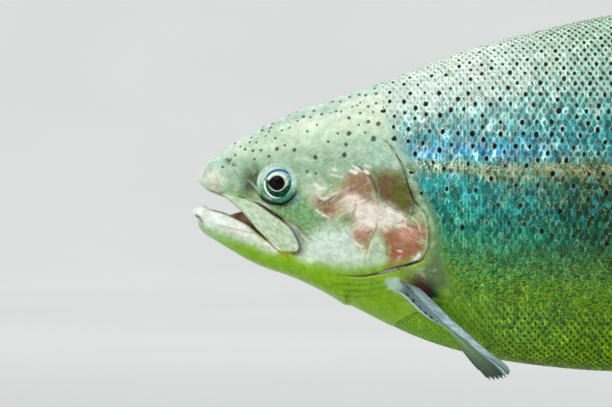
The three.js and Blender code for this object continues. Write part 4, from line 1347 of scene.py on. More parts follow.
def skin_material():
    n = Nodes("skin")
    look = markings(n, 0.5)
    plate = n.field("plate")
    bare = n.range(n.field("covered"), 0.0, 1.0, 1, 0)
    colour = n.mix(bare, look.colour, head_colour(n, look))
    grain = n.noise(look.place, 700, 3, 0.65)
    blotch = n.noise(look.place, 330, 3, 0.6)
    foil = n.strokes(look.place, 2.5, 0.7, 800, 4, 0.65)
    silver = n.mix(n.range(foil, 0.3, 0.68), rgb(176, 204, 160), rgb(238, 250, 230))
    colour = n.mix(n.range(plate, -0.2, -0.9, 0, 0.85), colour, silver)
    flat = n.mapped(n.field("map", "Vector"), (1.15, 0.85, 1))
    flat = n.vector("ADD", flat, n.vector("SCALE", n.noise(look.place, 900, 2, output=1), scale=0.0006))
    spots = spots_in(n, flat, 0.0046, n.range(look.girth, 0.72, 0.95, 0, 0.7), 0.15, 0.21)
    spots = n.times(spots, n.times(n.range(look.along, 1.2, 3.0), bare))
    colour = n.mix(n.times(spots, 0.85), colour, rgb(40, 66, 52))
    freckle = n.shaken(n.field("freckle"), grain, 0.9)
    colour = n.mix(n.range(freckle, 0.7, 1.35, 0.92, 0), colour, rgb(44, 66, 48))
    colour = n.mix(n.range(n.field("spot"), 0.3, 0.45), colour, SPOT)
    # Painted shade in the creases.
    colour = n.mix(n.times(n.field("crease_shade"), 0.6), colour, rgb(56, 62, 44))
    # The pit behind the fin's root, dark maroon to dark green: partly its own colour, partly painted shade.
    armpit_colour_and_shade = n.mix(n.range(look.along, 18.6, 19.8), rgb(84, 48, 40), rgb(14, 46, 38))
    colour = n.mix(n.field("pit"), colour, armpit_colour_and_shade)
    knob = n.range(n.shaken(n.field("knob"), blotch, 1.3), 0.1, 0.9, 0, 0.9)
    colour = n.mix(knob, colour, rgb(186, 212, 196))
    flesh = n.mix(n.range(n.noise(look.place, 160, 3), 0.35, 0.7), rgb(146, 90, 60), rgb(196, 158, 122))
    colour = n.mix(n.field("mouth"), colour, flesh)
    cells = n.cells(look.place, 800)
    height = n.math("MULTIPLY_ADD", n.range(cells["Distance"], 0.1, 0.6, 1, 0), 0.3, grain)
    wrinkles = n.noise(n.mapped(look.place, (1, 1, 1.8)), 190, 3, 0.6)
    bump = n.bump(wrinkles, 0.0012, 0.45, n.bump(height, 0.0004, 0.4))
    roughness = n.range(wrinkles, 0.35, 0.65, 0.24, 0.42)
    return n.finish(colour, roughness, bump, Coat_Weight=0.14, Coat_Roughness=0.1, Specular_IOR_Level=0.12)


def from_middle(n, local, half_width, half_length, turn):
    """1 on the edge of an oval round the middle of a scale's part that shows, behind its root."""
    shape = (half_width, half_length, 1e3)
    return n.vector("LENGTH", n.mapped(local, shape, (0, 0.3, 0), (0, 0, turn), kind="TEXTURE"))


def scale_material():
    n = Nodes("scales")
    local = n.field("scale", "Vector")
    chance = n.axes(local)[2]
    spot_size, tint, bright = n.axes(n.field("own", "Vector"))
    place = n.place()
    # Everything on the scales is drawn out upright, as their ridges are.
    upright = n.mapped(place, (1, 1, 0.42))
    streak = n.noise(upright, 640, 3, 0.7)
    patchy = n.noise(upright, 300, 2, 0.6)
    grain = n.noise(place, 1700, 2, 0.6)
    ragged = n.math("SUBTRACT", streak, 0.5)
    # The marks are narrower behind the head.
    centred = from_middle(n, local, 1.55, 1.0, 0.15)
    narrow = from_middle(n, local, 1.35, 0.62, 0.15)
    lengths = n.mix(n.range(n.axes(place)[0], -0.15, -0.09), narrow, centred)
    reach = n.math("MULTIPLY_ADD", ragged, 2.4, lengths)
    reach = n.times(reach, n.linear(tint, 0, 1, 0.78, 1.2))
    rims = n.range(reach, 0.7, 1.15)
    whole = n.range(n.field("girth"), 0.15, 0.6, 0.3, 0.75)
    shown = n.math("MAXIMUM", whole, n.range(patchy, 0.42, 0.6))
    middles = n.math("SUBTRACT", 1.0, n.times(rims, shown))
    look = markings(n, middles)
    tone = n.linear(bright, 0, 1, 0.52, 1.42)
    tone = n.times(tone, n.linear(streak, 0.3, 0.7, 0.5, 1.5))
    # Pale scales vary less than dark ones.
    steady = n.range(look.girth, 0.3, 0.75, 0, 0.65)
    tone = n.math("ADD", n.times(tone, n.math("SUBTRACT", 1.0, steady)), steady)
    tone = n.times(tone, n.linear(grain, 0.3, 0.7, 0.6, 1.4))
    colour = n.toned(look.colour, tone)
    # Edges of the flank's scales catch the light here and there, some blue and some gold.
    glint = n.times(n.range(n.noise(place, 1200, 2), 0.54, 0.66), rims)
    glint = n.times(glint, n.range(look.girth, -0.6, -0.1, 0.1, 0.7))
    glint_colour = n.mix(n.math("GREATER_THAN", tint, 0.6), rgb(90, 206, 210), rgb(206, 214, 160))
    colour = n.mix(n.times(glint, n.range(look.along, 50, 26, 0.3, 1)), colour, glint_colour)
    blue = n.times(n.math("GREATER_THAN", chance, 0.8), n.range(look.girth, 0.5, 0.3))
    blue = n.times(blue, n.times(n.range(look.girth, -0.4, -0.1), n.range(streak, 0.45, 0.6)))
    colour = n.mix(n.times(blue, 0.55), colour, rgb(50, 180, 196))
    # Flecks of gold run along the side's line, and yellow-green ones lower down.
    dash = n.noise(n.mapped(place, (0.5, 1, 1)), 1300, 2, 0.6)
    band = n.range(n.apart(look.girth, 0.03), 0.01, 0.055, 1, 0)
    colour = n.mix(
        n.times(band, n.range(dash, 0.5, 0.62, 0, 0.85)),
        colour,
        n.mix(n.range(look.along, 26, 19), rgb(214, 188, 122), rgb(246, 240, 204)),
    )
    lying = n.mapped(place, (0.55, 1, 1))
    leafy = n.times(
        n.range(look.girth, -0.3, -0.6), n.range(n.noise(lying, 1500, 2, 0.6), 0.48, 0.58, 0, 0.85),
    )
    colour = n.mix(leafy, colour, rgb(154, 182, 16))
    shade = n.times(
        n.range(look.girth, -0.25, -0.5), n.range(n.noise(lying, 1150, 2, 0.6), 0.48, 0.38, 0, 0.75),
    )
    calm = n.math("MAXIMUM", n.range(look.girth, -0.8, -0.66), n.range(look.along, 19, 28, 0.15, 1))
    colour = n.mix(n.times(shade, calm), colour, rgb(14, 92, 66))
    # Lime on the lower belly behind the head, partly painted greenish light from below.
    colour = n.mix(n.range(calm, 1, 0.15, 0, 0.75), colour, rgb(122, 178, 20))
    bare = n.mix(n.times(middles, 0.2), n.ramp(n.linear(look.girth, -1, 1), HEAD_RAMP), rgb(90, 140, 130))
    bare = n.mix(n.range(look.girth, 0.2, -0.1, 0, 1), bare, n.tinted(bare, rgb(196, 200, 172)))
    colour = n.mix(n.range(n.field("settled"), 0, 1, 0.85, 0), colour, bare)
    # A small dark dot on the middle of each scale of the back, and a larger one along the belly.
    leaning = from_middle(n, local, 1.05, 0.55, -0.4)
    dot = n.math("MULTIPLY_ADD", ragged, 0.9, leaning)
    dots = n.times(n.range(dot, 0.8, 1.2, 1, 0), n.range(look.girth, 0.38, 0.56))
    dots = n.times(dots, n.linear(look.along, 15, 32, 0.35, 1))
    dots = n.times(dots, n.linear(chance, 0, 0.5, 0.35, 1))
    colour = n.mix(dots, colour, rgb(8, 44, 38))
    low = n.times(n.range(look.girth, -0.6, -0.76), n.range(look.along, 18, 28, 0.2, 0.85))
    colour = n.mix(n.times(n.range(dot, 0.65, 1.25, 1, 0), low), colour, rgb(8, 78, 62))
    # The spots proper, each near the middle of one scale.
    aside = n.new("ShaderNodeCombineXYZ", {
        0: n.linear(tint, 0, 1, -0.35, 0.35), 1: n.linear(bright, 0, 1, -0.5, 0.3),
    }).outputs[0]
    wide = from_middle(n, n.vector("ADD", local, aside), 1.3, 0.98, 0.15)
    spot = n.math("MULTIPLY_ADD", ragged, 0.6, wide)
    spot = n.math("SUBTRACT", spot, spot_size)
    spot = n.times(n.range(spot, -0.1, 0.1, 1, 0), n.math("GREATER_THAN", spot_size, 0.1))
    colour = n.mix(spot, colour, SPOT)
    bump = n.bump(n.math("ADD", streak, n.times(grain, 0.4)), 0.0002, 0.35)
    roughness = n.linear(chance, 0, 1, 0.26, 0.46)
    return n.finish(colour, roughness, bump, Coat_Weight=0.06, Coat_Roughness=0.12, Specular_IOR_Level=0.12)


# ---------------------------------------------------------------------------------------------------
# The skin
# ---------------------------------------------------------------------------------------------------

FLESH_NODES = [
    "head", "jaw_lower", "tongue", "maxilla_left", "maxilla_right", "gill_cover_left", "gill_cover_right",
    "trunk_front", "trunk_middle", "trunk_rear", "tail",
]


def make_skin():
    points, quads = build_skin()
    skin = new_mesh("skin", points, quads)
    mesh = skin.data
    mark_places(mesh, points)
    s, y, z = points.T
    _, crease_shade, _, outline = side_view(s, z)
    depth = form_distance(SHUT_HEAD, s, y, z)
    socket = ellipsoid_distance(EYE_CENTRE, EYE_RADII, s, y, z)
    in_socket = smooth_step(1.2, 0.4, socket)
    gape = smooth_step(8.6, 7.4, s / PERCENT)
    inside = smooth_step(-1.8, -3.0, depth) * smooth_step(1.6, 3.0, s / PERCENT)
    below_palate = (z / PERCENT < palate_line(s / PERCENT) + 0.5) * smooth_step(-0.6, 0.2, outline)
    over_jaw = z / PERCENT > jaw_line(s / PERCENT) - 1.2
    set_field(mesh, "mouth", gape * inside * below_palate * over_jaw * (1 - in_socket))
    flank = smooth_step(0.12, 0.4, np.abs(y) / (half_width(s / PERCENT) * PERCENT))
    # Painted shade of the creases, kept to the flanks and outside the mouth.
    crease_shade = np.clip(crease_shade * flank * smooth_step(-3, -1.5, depth), 0, 1)
    set_field(mesh, "crease_shade", crease_shade)
    set_field(mesh, "plate", np.where((np.abs(y) > 0.9 * PERCENT) & (depth > -0.6), outline, 9.0))
    set_field(mesh, "covered", under_coat(s, z))
    from_eye = np.stack([s - EYE_CENTRE[0] * PERCENT, z - EYE_CENTRE[2] * PERCENT, 0 * s], 1)
    from_eye[:, 2] = np.hypot(from_eye[:, 0], from_eye[:, 1])
    set_field(mesh, "from_eye", from_eye)
    set_field(mesh, "spot", spot_nearness(points))
    set_field(mesh, "pit", np.clip(1.3 * bump(s, z, ARMPIT, (1.9, 0.85), -0.62) - 0.1, 0, 1))
    set_field(mesh, "knob", np.clip(1.7 * bump(s, z, PECTORAL_ROOT, (1.0, 0.6), -0.5) - 0.3, 0, 1))
    set_field(mesh, "freckle", head_spots(points))
    paint_head(mesh, s, z)
    mesh.materials.append(skin_material())
    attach(skin, "root")
    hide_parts(*FLESH_NODES)


make_skin()

# ---------------------------------------------------------------------------------------------------
# The scales
# ---------------------------------------------------------------------------------------------------

SCALE_ACROSS = (-1, -0.62, -0.24, 0.24, 0.62, 1)  # its corners, in shares of its half width
SCALE_ALONG = (-1, -0.1, 0.55, 1)  # and from its hidden end to its free edge
SCALE_FRONT, SCALE_REAR, SCALE_ROUNDING = -2.7, 1.9, 4.0  # mm
SCALE_WIDTH = 1.05  # half width in rows
BANDS = [("back", 0.38, 2.0), ("flank", -0.34, 0.38), ("belly", -2.0, -0.34)]  # by arc_level()
PATCH = 0.003  # a scale's size on the bake map


def scale_template():
    """Local places of one scale's corners, across and along, which are its skirt, and its faces."""
    columns = len(SCALE_ACROSS)
    across = np.array(SCALE_ACROSS * (len(SCALE_ALONG) + 1), float)
    along = np.repeat(np.array(SCALE_ALONG + (1,), float), columns)
    skirt = np.arange(len(across)) >= columns * len(SCALE_ALONG)
    faces = []
    for row in range(len(SCALE_ALONG)):
        for column in range(columns - 1):
            a = row * columns + column
            faces.append((a, a + columns, a + columns + 1, a + 1))
    return across, along, skirt, np.array(faces)


def scale_profile(u, v, skirt):
    """How far each corner lies behind the root and how far it is lifted, in millimetres."""
    # The free edge is round, and the hidden one lies under the scales ahead.
    free_edge = SCALE_REAR - SCALE_ROUNDING * np.abs(u) ** 2.1
    reach = np.where(v >= 1, free_edge, SCALE_FRONT + (free_edge - SCALE_FRONT) * (v + 1) / 2)
    lift = -0.24 + 0.44 * (reach - SCALE_FRONT) / (SCALE_REAR - SCALE_FRONT) - 0.10 * u**2
    return reach, np.where(skirt, np.minimum(lift - 0.16, -0.1), lift)


def lay_scales(place, arc, half, full, jitter, side, u, reach, lift):
    """The corners of scales with these roots, and each corner's own place and arc."""
    size = shrink(place)
    here_place = place[:, None] + reach * (1 + jitter[:, :1]) * size[:, None] / PERCENT
    here_arc = arc[:, None] + u * (half * size)[:, None]
    bottom_here, top_here = arc_range(here_place)
    here_arc = np.clip(here_arc, bottom_here, top_here)
    flat_place, flat_arc = here_place.ravel(), here_arc.ravel()
    base = on_coat(flat_place, flat_arc, side)
    forward = on_coat(flat_place + 0.05, flat_arc, side) - on_coat(flat_place - 0.05, flat_arc, side)
    upward = on_coat(flat_place, flat_arc + 0.4, side) - on_coat(flat_place, flat_arc - 0.4, side)
    normal = np.cross(forward, upward) * -side
    normal /= np.maximum(np.linalg.norm(normal, axis=1, keepdims=True), 1e-9)
    raised = lift * (1 + 2 * jitter[:, 1:2]) * (0.35 + 0.65 * full[:, None]) - SKIN_DEPTH + 0.16
    return base + normal * raised.reshape(-1, 1), flat_place, flat_arc


def add_bake_map(mesh, place, arc, u, v, skirt, quads):
    """The map OFBake: each scale is a patch of its own, at its root's place on the unrolled skin."""
    root_u = 0.01 + 0.98 * (place - 14) / 88
    root_v = 0.01 + 0.98 * (arc - arc.min()) / (arc.max() - arc.min())
    uv = np.stack([
        (root_u[:, None] + PATCH / 2 * v * np.where(skirt, 1.15, 1.0)).ravel(),
        (root_v[:, None] + PATCH / 2 * u).ravel(),
    ], 1)
    layer = mesh.uv_layers.new(name="OFBake")
    layer.data.foreach_set("uv", uv[quads.ravel()].astype(np.float32).ravel())


def make_scales():
    generator = np.random.default_rng(7)
    u, v, skirt, faces = scale_template()
    reach, lift = scale_profile(u, v, skirt)
    # The skirt is flat shaded.
    smooth = np.arange(len(faces)) < len(faces) - len(SCALE_ACROSS) + 1
    material = scale_material()
    level = arc_level(ROOTS[:, 0], ROOTS[:, 1])
    for side, side_name in ((-1, "left"), (1, "right")):
        for band, low, high in BANDS:
            inside = (level >= low) & (level < high)
            place, arc, row = ROOTS[inside].T
            count = len(place)
            jitter = generator.normal(0, 0.05, (count, 3))
            chance = generator.random((count, 3))
            half = (ROW_SPACING - 2 * ROW_CLOSING * np.abs(row)) * SCALE_WIDTH
            full = settled(place, on_coat(place, arc, side)[:, 2] / PERCENT)
            laid = lay_scales(place, arc, half, full, jitter, side, u, reach, lift)
            points, corner_place, corner_arc = laid
            flip = faces if side < 0 else faces[:, ::-1]
            quads = (flip[None] + (np.arange(count) * len(u))[:, None, None]).reshape(-1, 4)
            piece = new_mesh(f"scales_{band}_{side_name}", points, quads)
            mesh = piece.data
            mark_places(mesh, points, np.stack([corner_place * PERCENT, corner_arc], 1))
            mesh.polygons.foreach_set("use_smooth", np.tile(smooth, count))
            local = np.stack([
                (u * half[:, None]).ravel(), np.tile(reach, count), np.repeat(chance[:, 0], len(u)),
            ], 1)
            set_field(mesh, "scale", local)
            own = np.stack([SPOTS[side][inside], chance[:, 1], chance[:, 2]], 1)
            set_field(mesh, "own", np.repeat(own, len(u), axis=0))
            set_field(mesh, "settled", np.repeat(full, len(u)))
            add_bake_map(mesh, place, arc, u, v, skirt, quads)
            mesh.materials.append(material)
            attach(piece, "root")


make_scales()

# ---------------------------------------------------------------------------------------------------
# Fins
# ---------------------------------------------------------------------------------------------------


def fin_material(name, colours, spot_share, edge_colour):
    n = Nodes(name)
    _, out, ray = n.axes(n.field("fin", "Vector"))
    place = n.place()
    cloud = n.noise(place, 60, 3)
    colour = n.ramp(n.shaken(out, cloud, 0.3), colours)
    colour = n.mix(n.range(ray, 0.2, 0.9, 0, 0.5), colour, n.mix(0.5, colour, rgb(215, 225, 190)))
    dots = n.cells(place, 130)
    chance = n.axes(dots["Color"])[0]
    spot = n.times(n.range(dots["Distance"], 0.2, 0.3, 1, 0), n.math("LESS_THAN", chance, spot_share))
    colour = n.mix(n.times(spot, 0.85), colour, SPOT)
    colour = n.mix(n.range(out, 0.93, 1.0, 0, 0.7), colour, edge_colour)
    joints = n.math("SINE", n.times(out, 260))
    bump = n.bump(n.times(joints, ray), 0.00015, 0.4)
    roughness = n.range(cloud, 0.3, 0.7, 0.32, 0.5)
    return n.finish(colour, roughness, bump, Coat_Weight=0.3, Coat_Roughness=0.2)


def stripes(n, across, count, sharp):
    """1 on each of count lines out along a fin and 0 between."""
    wave = n.math("COSINE", n.times(across, 2 * math.pi * count))
    return n.math("POWER", n.math("MULTIPLY_ADD", wave, 0.5, 0.5), sharp)


def pectoral_material():
    """A silver-blue stalk of thick rays, opening into a green fan with pale rays and a dark tip."""
    n = Nodes("fin_pectoral")
    across, out, ray = n.axes(n.field("fin", "Vector"))
    place = n.place()
    cloud = n.noise(place, 300, 3, 0.6)
    wavy = n.shaken(across, cloud, 0.05)
    fan = n.ramp(out, [
        (0.35, rgb(150, 194, 134)), (0.55, rgb(98, 152, 86)), (0.75, rgb(48, 104, 52)), (
            0.9, rgb(22, 62, 40),
        ),
        (1, rgb(14, 44, 30)),
    ])
    pale = n.times(stripes(n, wavy, 13, 2.5), n.range(out, 0.95, 0.6, 0.12, 0.85))
    fan = n.mix(pale, fan, rgb(190, 214, 170))
    stalk = n.mix(stripes(n, wavy, 5, 0.8), rgb(70, 104, 104), rgb(190, 214, 216))
    stalk = n.mix(n.range(across, 0.8, 0.93, 0, 0.95), stalk, rgb(232, 246, 238))
    row = n.times(n.range(n.apart(across, 0.72), 0.07, 0.14, 1, 0), stripes(n, out, 17, 1.0))
    row = n.times(row, n.times(n.range(out, 0.04, 0.08), n.range(out, 0.46, 0.36)))
    stalk = n.mix(n.times(row, n.range(cloud, 0.35, 0.5)), stalk, rgb(20, 44, 50))
    stalk = n.mix(n.range(out, 0.1, 0.02), stalk, rgb(226, 236, 232))
    width = n.range(out, 0.34, 0.5, 1.15, 0.3)
    colour = n.mix(n.range(n.math("SUBTRACT", across, width), -0.06, 0.06), stalk, fan)
    # Streaks along its thick leading edge, pale partly as a painted highlight, and darker toward the tip.
    drawn_out = n.strokes(place, 9, 0.68, 900, 3, 0.6)
    lead = n.mix(n.range(drawn_out, 0.3, 0.7), rgb(112, 146, 156), rgb(182, 206, 208))
    lead = n.mix(n.range(out, 0.66, 0.8, 0, 0.7), lead, rgb(96, 138, 112))
    colour = n.mix(n.range(across, 0.02, 0.1, 0.95, 0), colour, lead)
    joints = n.math("SINE", n.times(out, 260))
    bump = n.bump(n.times(joints, ray), 0.00015, 0.4)
    return n.finish(
        colour,
        n.range(cloud, 0.3, 0.7, 0.3, 0.48),
        bump,
        Coat_Weight=0.2,
        Coat_Roughness=0.2,
        Specular_IOR_Level=0.35,
    )


COLUMNS_PER_RAY, FIN_STEPS = 6, 26


def lerp(a, b, t):
    return a + (b - a) * t


def fin_grid(rays):
    """Shares across a fin and out along it, 0 to 1."""
    u = np.linspace(0, 1, rays * COLUMNS_PER_RAY + 1)
    v = np.linspace(0, 1, FIN_STEPS + 1) ** 0.9
    return np.meshgrid(u, v, indexing="ij")


def ray_height(u, v, rays):
    """1 on a ray and 0 between. Each ray forks about half way out."""
    whole = 0.5 + 0.5 * np.cos(2 * math.pi * u * rays)
    forked = 0.5 - 0.5 * np.cos(4 * math.pi * u * rays)
    split = smooth_step(0.4, 0.75, v)
    return (whole * (1 - split) + forked * split) ** 1.6


def closed_sheet(middle, normal, half):
    """Both faces of a thin sheet and its rim, from grids of middles, normals and half thicknesses."""
    columns, rows = half.shape
    thin = half.copy()
    thin[:, -1] *= 0.35
    thin[0, :] *= 0.7
    thin[-1, :] *= 0.5
    top = middle + normal * thin[..., None]
    under = middle - normal * thin[..., None]
    points = np.concatenate([top.reshape(-1, 3), under.reshape(-1, 3)])
    index = np.arange(columns * rows).reshape(columns, rows)
    a, b, c, d = index[:-1, :-1], index[1:, :-1], index[1:, 1:], index[:-1, 1:]
    face = np.stack([a, b, c, d], -1).reshape(-1, 4)
    other = face[:, ::-1] + columns * rows
    ring = np.concatenate([index[:, 0], index[-1, 1:], index[-2::-1, -1], index[0, -2:0:-1]])
    after = np.roll(ring, -1)
    rim = np.stack([ring, ring + columns * rows, after + columns * rows, after], 1)
    return points, np.concatenate([face, other, rim])


def make_fin(name, middle, half, u, v, rays, material):
    along = np.gradient(middle, axis=0)
    outward = np.gradient(middle, axis=1)
    normal = np.cross(along, outward)
    normal /= np.maximum(np.linalg.norm(normal, axis=-1, keepdims=True), 1e-9)
    points, faces = closed_sheet(middle, normal, half)
    piece = new_mesh(name, points, faces)
    ridge = ray_height(u, v, rays)
    fields = np.stack([u, v, ridge], -1).reshape(-1, 3)
    set_field(piece.data, "fin", np.concatenate([fields, fields]))
    piece.data.materials.append(material)
    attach(piece, "root")
    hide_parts(name.replace("rayed_", ""))


MEDIAN_FINS = {
    "fin_dorsal": SimpleNamespace(
        root=[(47.5, 15.6), (60.5, 13.4)], slopes=(56, 34), sweep=10, halves=(1.5, 0.35), rays=12,
        lengths=[
            (0, 3.5), (0.08, 9), (0.16, 12.4), (0.25, 12.2), (0.5, 9.6), (0.75, 7.7), (0.94, 6.9), (1, 6),
        ],
    ),
    "fin_adipose": SimpleNamespace(
        root=[(83.2, 6.2), (85.6, 5.6)], slopes=(48, 20), sweep=14, halves=(2.2, 0.8), rays=0,
        lengths=[(0, 3.4), (0.3, 4.6), (0.6, 4.8), (1, 3.2)],
    ),
    "fin_anal": SimpleNamespace(
        root=[(73.5, -7.9), (83.2, -5.1)], slopes=(-60, -28), sweep=-10, halves=(1.4, 0.35), rays=12,
        lengths=[(0, 2.6), (0.09, 7), (0.18, 9.8), (0.28, 9.5), (0.55, 7), (0.8, 5.6), (0.95, 5.1), (1, 4.2)],
    ),
    "fin_tail": SimpleNamespace(
        root=[(100.3, 5), (100.3, -4)], slopes=(31, -31), sweep=0, halves=(2.4, 0.4), rays=19,
        lengths=[
            (0, 10), (0.05, 13.8), (0.1, 14.8), (0.18, 14.4), (0.34, 12.6), (0.5, 11.8), (0.66, 12.5),
            (0.82, 14.2), (0.9, 14.6), (0.95, 13.6), (1, 9.8),
        ],
    ),
}
PAIRED_FINS = {
    "fin_pectoral": SimpleNamespace(
        lead=[
            (17.1, -4.5, -6.95), (18.0, -5.0, -7.3), (18.75, -5.5, -8.1), (19.7, -6.1, -9.1),
            (20.7, -6.6, -10.1), (22.2, -7.4, -11.35), (23.5, -8.0, -12.45), (24.6, -8.5, -13.15),
            (25.4, -8.8, -13.8), (25.85, -8.95, -14.5),
        ],
        trail=[
            (16.2, -4.3, -7.6), (17.25, -4.6, -8.15), (18.3, -4.9, -9.15), (19.2, -5.1, -9.85),
            (20.1, -5.3, -10.35), (20.75, -5.4, -10.85), (21.7, -5.6, -12.05), (22.7, -5.7, -13.35),
            (23.55, -5.8, -14.4), (24.3, -5.9, -15.2),
        ],
        rounding=0.03, halves=(2.6, 0.35), rays=14,
    ),
    "fin_pelvic": SimpleNamespace(
        lead=[
            (53.4, -2.9, -12.9),
            (55.3, -4.0, -14.2),
            (57.4, -4.8, -15.4),
            (59.4, -5.4, -16.6),
            (61.3, -5.7, -17.6),
        ],
        trail=[
            (56.2, -1.7, -12.9),
            (57.2, -2.0, -13.5),
            (58.2, -2.25, -14.1),
            (59.4, -2.4, -14.8),
            (60.6, -2.5, -15.4),
        ],
        rounding=0.08, halves=(1.8, 0.35), rays=10,
    ),
}


def make_median_fins(median, lower):
    for name, fin in MEDIAN_FINS.items():
        rays = fin.rays
        u, v = fin_grid(rays or 4)
        (s0, z0), (s1, z1) = fin.root
        length = curve(fin.lengths)(u) * v
        angle = np.radians(lerp(fin.slopes[0], fin.slopes[1], u) - fin.sweep * v)
        s = lerp(s0, s1, u) + length * np.cos(angle)
        z = lerp(z0, z1, u) + length * np.sin(angle)
        middle = np.stack([s, 0 * s, z], -1) * PERCENT
        ridge = ray_height(u, v, rays) if rays else 0.7
        half = lerp(fin.halves[0], fin.halves[1], v) * (0.55 + 0.45 * ridge)
        material = lower if name == "fin_anal" else median
        make_fin("rayed_" + name, middle, half, u, v, max(rays, 1), material)


def make_paired_fins(pectoral, lower):
    for name, fin in PAIRED_FINS.items():
        for side, side_name in ((1, "left"), (-1, "right")):
            u, v = fin_grid(fin.rays)
            frayed = 0.03 * v**6 * (0.5 - 0.5 * np.cos(2 * math.pi * u * fin.rays) + np.sin(19 * u + 1) ** 2)
            along = v * (1 + fin.rounding * np.sin(math.pi * u) - fin.rounding) - frayed
            edges = []
            for line in (fin.lead, fin.trail):
                knots = np.linspace(0, 1, len(line))
                axes = [curve(np.c_[knots, column])(along) for column in np.array(line).T]
                edges.append(np.stack([axes[0], axes[1] * side, axes[2]], -1))
            middle = lerp(edges[0], edges[1], u[..., None]) * PERCENT
            ridge = ray_height(u, v, fin.rays)
            lead_ray = 1 + 0.8 * np.exp(-((u / 0.16) ** 2))
            half = lerp(fin.halves[0], fin.halves[1], v**0.7) * (1.1 - 0.5 * u)
            half = half * (0.5 + 0.5 * ridge) * lead_ray
            material = pectoral if name == "fin_pectoral" else lower
            make_fin(f"rayed_{name}_{side_name}", middle, half, u, v, fin.rays, material)


def make_fins():
    edge = rgb(232, 232, 205)
    green = [(0, rgb(118, 144, 112)), (0.6, rgb(120, 138, 100)), (1, rgb(150, 150, 110))]
    warm = [(0, rgb(150, 160, 104)), (0.6, rgb(160, 138, 92)), (1, rgb(190, 170, 130))]
    lower = fin_material("fin_lower", warm, 0.04, edge)
    make_median_fins(fin_material("fin_median", green, 0.6, edge), lower)
    make_paired_fins(pectoral_material(), lower)


make_fins()

# ---------------------------------------------------------------------------------------------------
# Eyes
# ---------------------------------------------------------------------------------------------------


PUPIL_RADIUS = 3.6  # mm
PUPIL_POINT = math.radians(182)  # the way its point faces


def eye_material():
    n = Nodes("eye")
    side, up, radius = n.axes(n.field("eye", "Vector"))
    place = n.place()
    streaks = n.noise(place, 1000, 3, 0.65)
    fine = n.noise(place, 1600, 2, 0.6)
    # The iris is painted lighter toward its top, where the pale blue is a painted reflection.
    shade = n.shaken(n.linear(up, -5.5, 5.5), streaks, 1.1)
    iris = n.ramp(shade, [
        (0.05, rgb(2, 44, 34)), (0.34, rgb(6, 70, 52)), (0.5, rgb(24, 108, 84)), (0.66, rgb(90, 164, 170)),
        (0.84, rgb(190, 214, 244)), (1, rgb(130, 190, 220)),
    ])
    flecks = n.times(n.range(fine, 0.54, 0.64), n.range(up, 2, -1))
    iris = n.mix(n.times(flecks, 0.8), iris, rgb(20, 150, 104))
    # The ring round the pupil is broad above and behind, and a thread below: the thread is its own colour,
    # and the broad part is also a painted highlight.
    broad = n.range(n.math("MULTIPLY_ADD", side, 0.3, up), -1.5, 1.2)
    near = n.math("SUBTRACT", radius, PUPIL_RADIUS + 0.1)
    cream = n.range(
        near, n.math("MULTIPLY_ADD", broad, 0.9, 0.2), n.math("MULTIPLY_ADD", broad, 1.2, 0.5), 1, 0,
    )
    iris = n.mix(n.times(cream, n.range(streaks, 0.3, 0.5, 0.4, 1)), iris, rgb(244, 248, 226))
    # A dark wedge runs from the pupil's point to the front of the iris.
    wedge = n.range(n.apart(up, 0.5), 0.5, 1.1, 1, 0)
    wedge = n.times(wedge, n.times(n.range(side, -3.4, -3.9), n.range(side, -6.0, -5.4)))
    iris = n.mix(n.times(wedge, 0.9), iris, rgb(4, 40, 30))
    # The outer ring, dark above and white below, stands a little behind the pupil's middle.
    ring = n.field("ring")
    arc = n.range(n.apart(ring, 6.35), 0.25, 0.65, 1, 0)
    iris = n.mix(n.times(arc, n.range(up, 1.6, 3.4, 0, 0.9)), iris, rgb(12, 66, 84))
    white = n.range(n.apart(ring, 6.6), 0.3, 0.65, 1, 0)
    low = n.range(n.math("MULTIPLY_ADD", side, -0.25, up), 3.0, 1.6)
    iris = n.mix(n.times(white, n.times(low, n.range(fine, 0.3, 0.42, 0.55, 1))), iris, rgb(255, 255, 250))
    outside = n.mix(n.range(up, -2, 2), rgb(58, 146, 96), rgb(196, 224, 204))
    outside = n.mix(n.range(streaks, 0.52, 0.62, 0, 0.7), outside, rgb(226, 240, 214))
    iris = n.mix(n.range(ring, 6.95, 7.2), iris, outside)
    colour = n.mix(n.field("pupil"), iris, rgb(2, 3, 10))
    return n.finish(colour, 0.22, None, Coat_Weight=0.12, Coat_Roughness=0.05, Specular_IOR_Level=0.05)


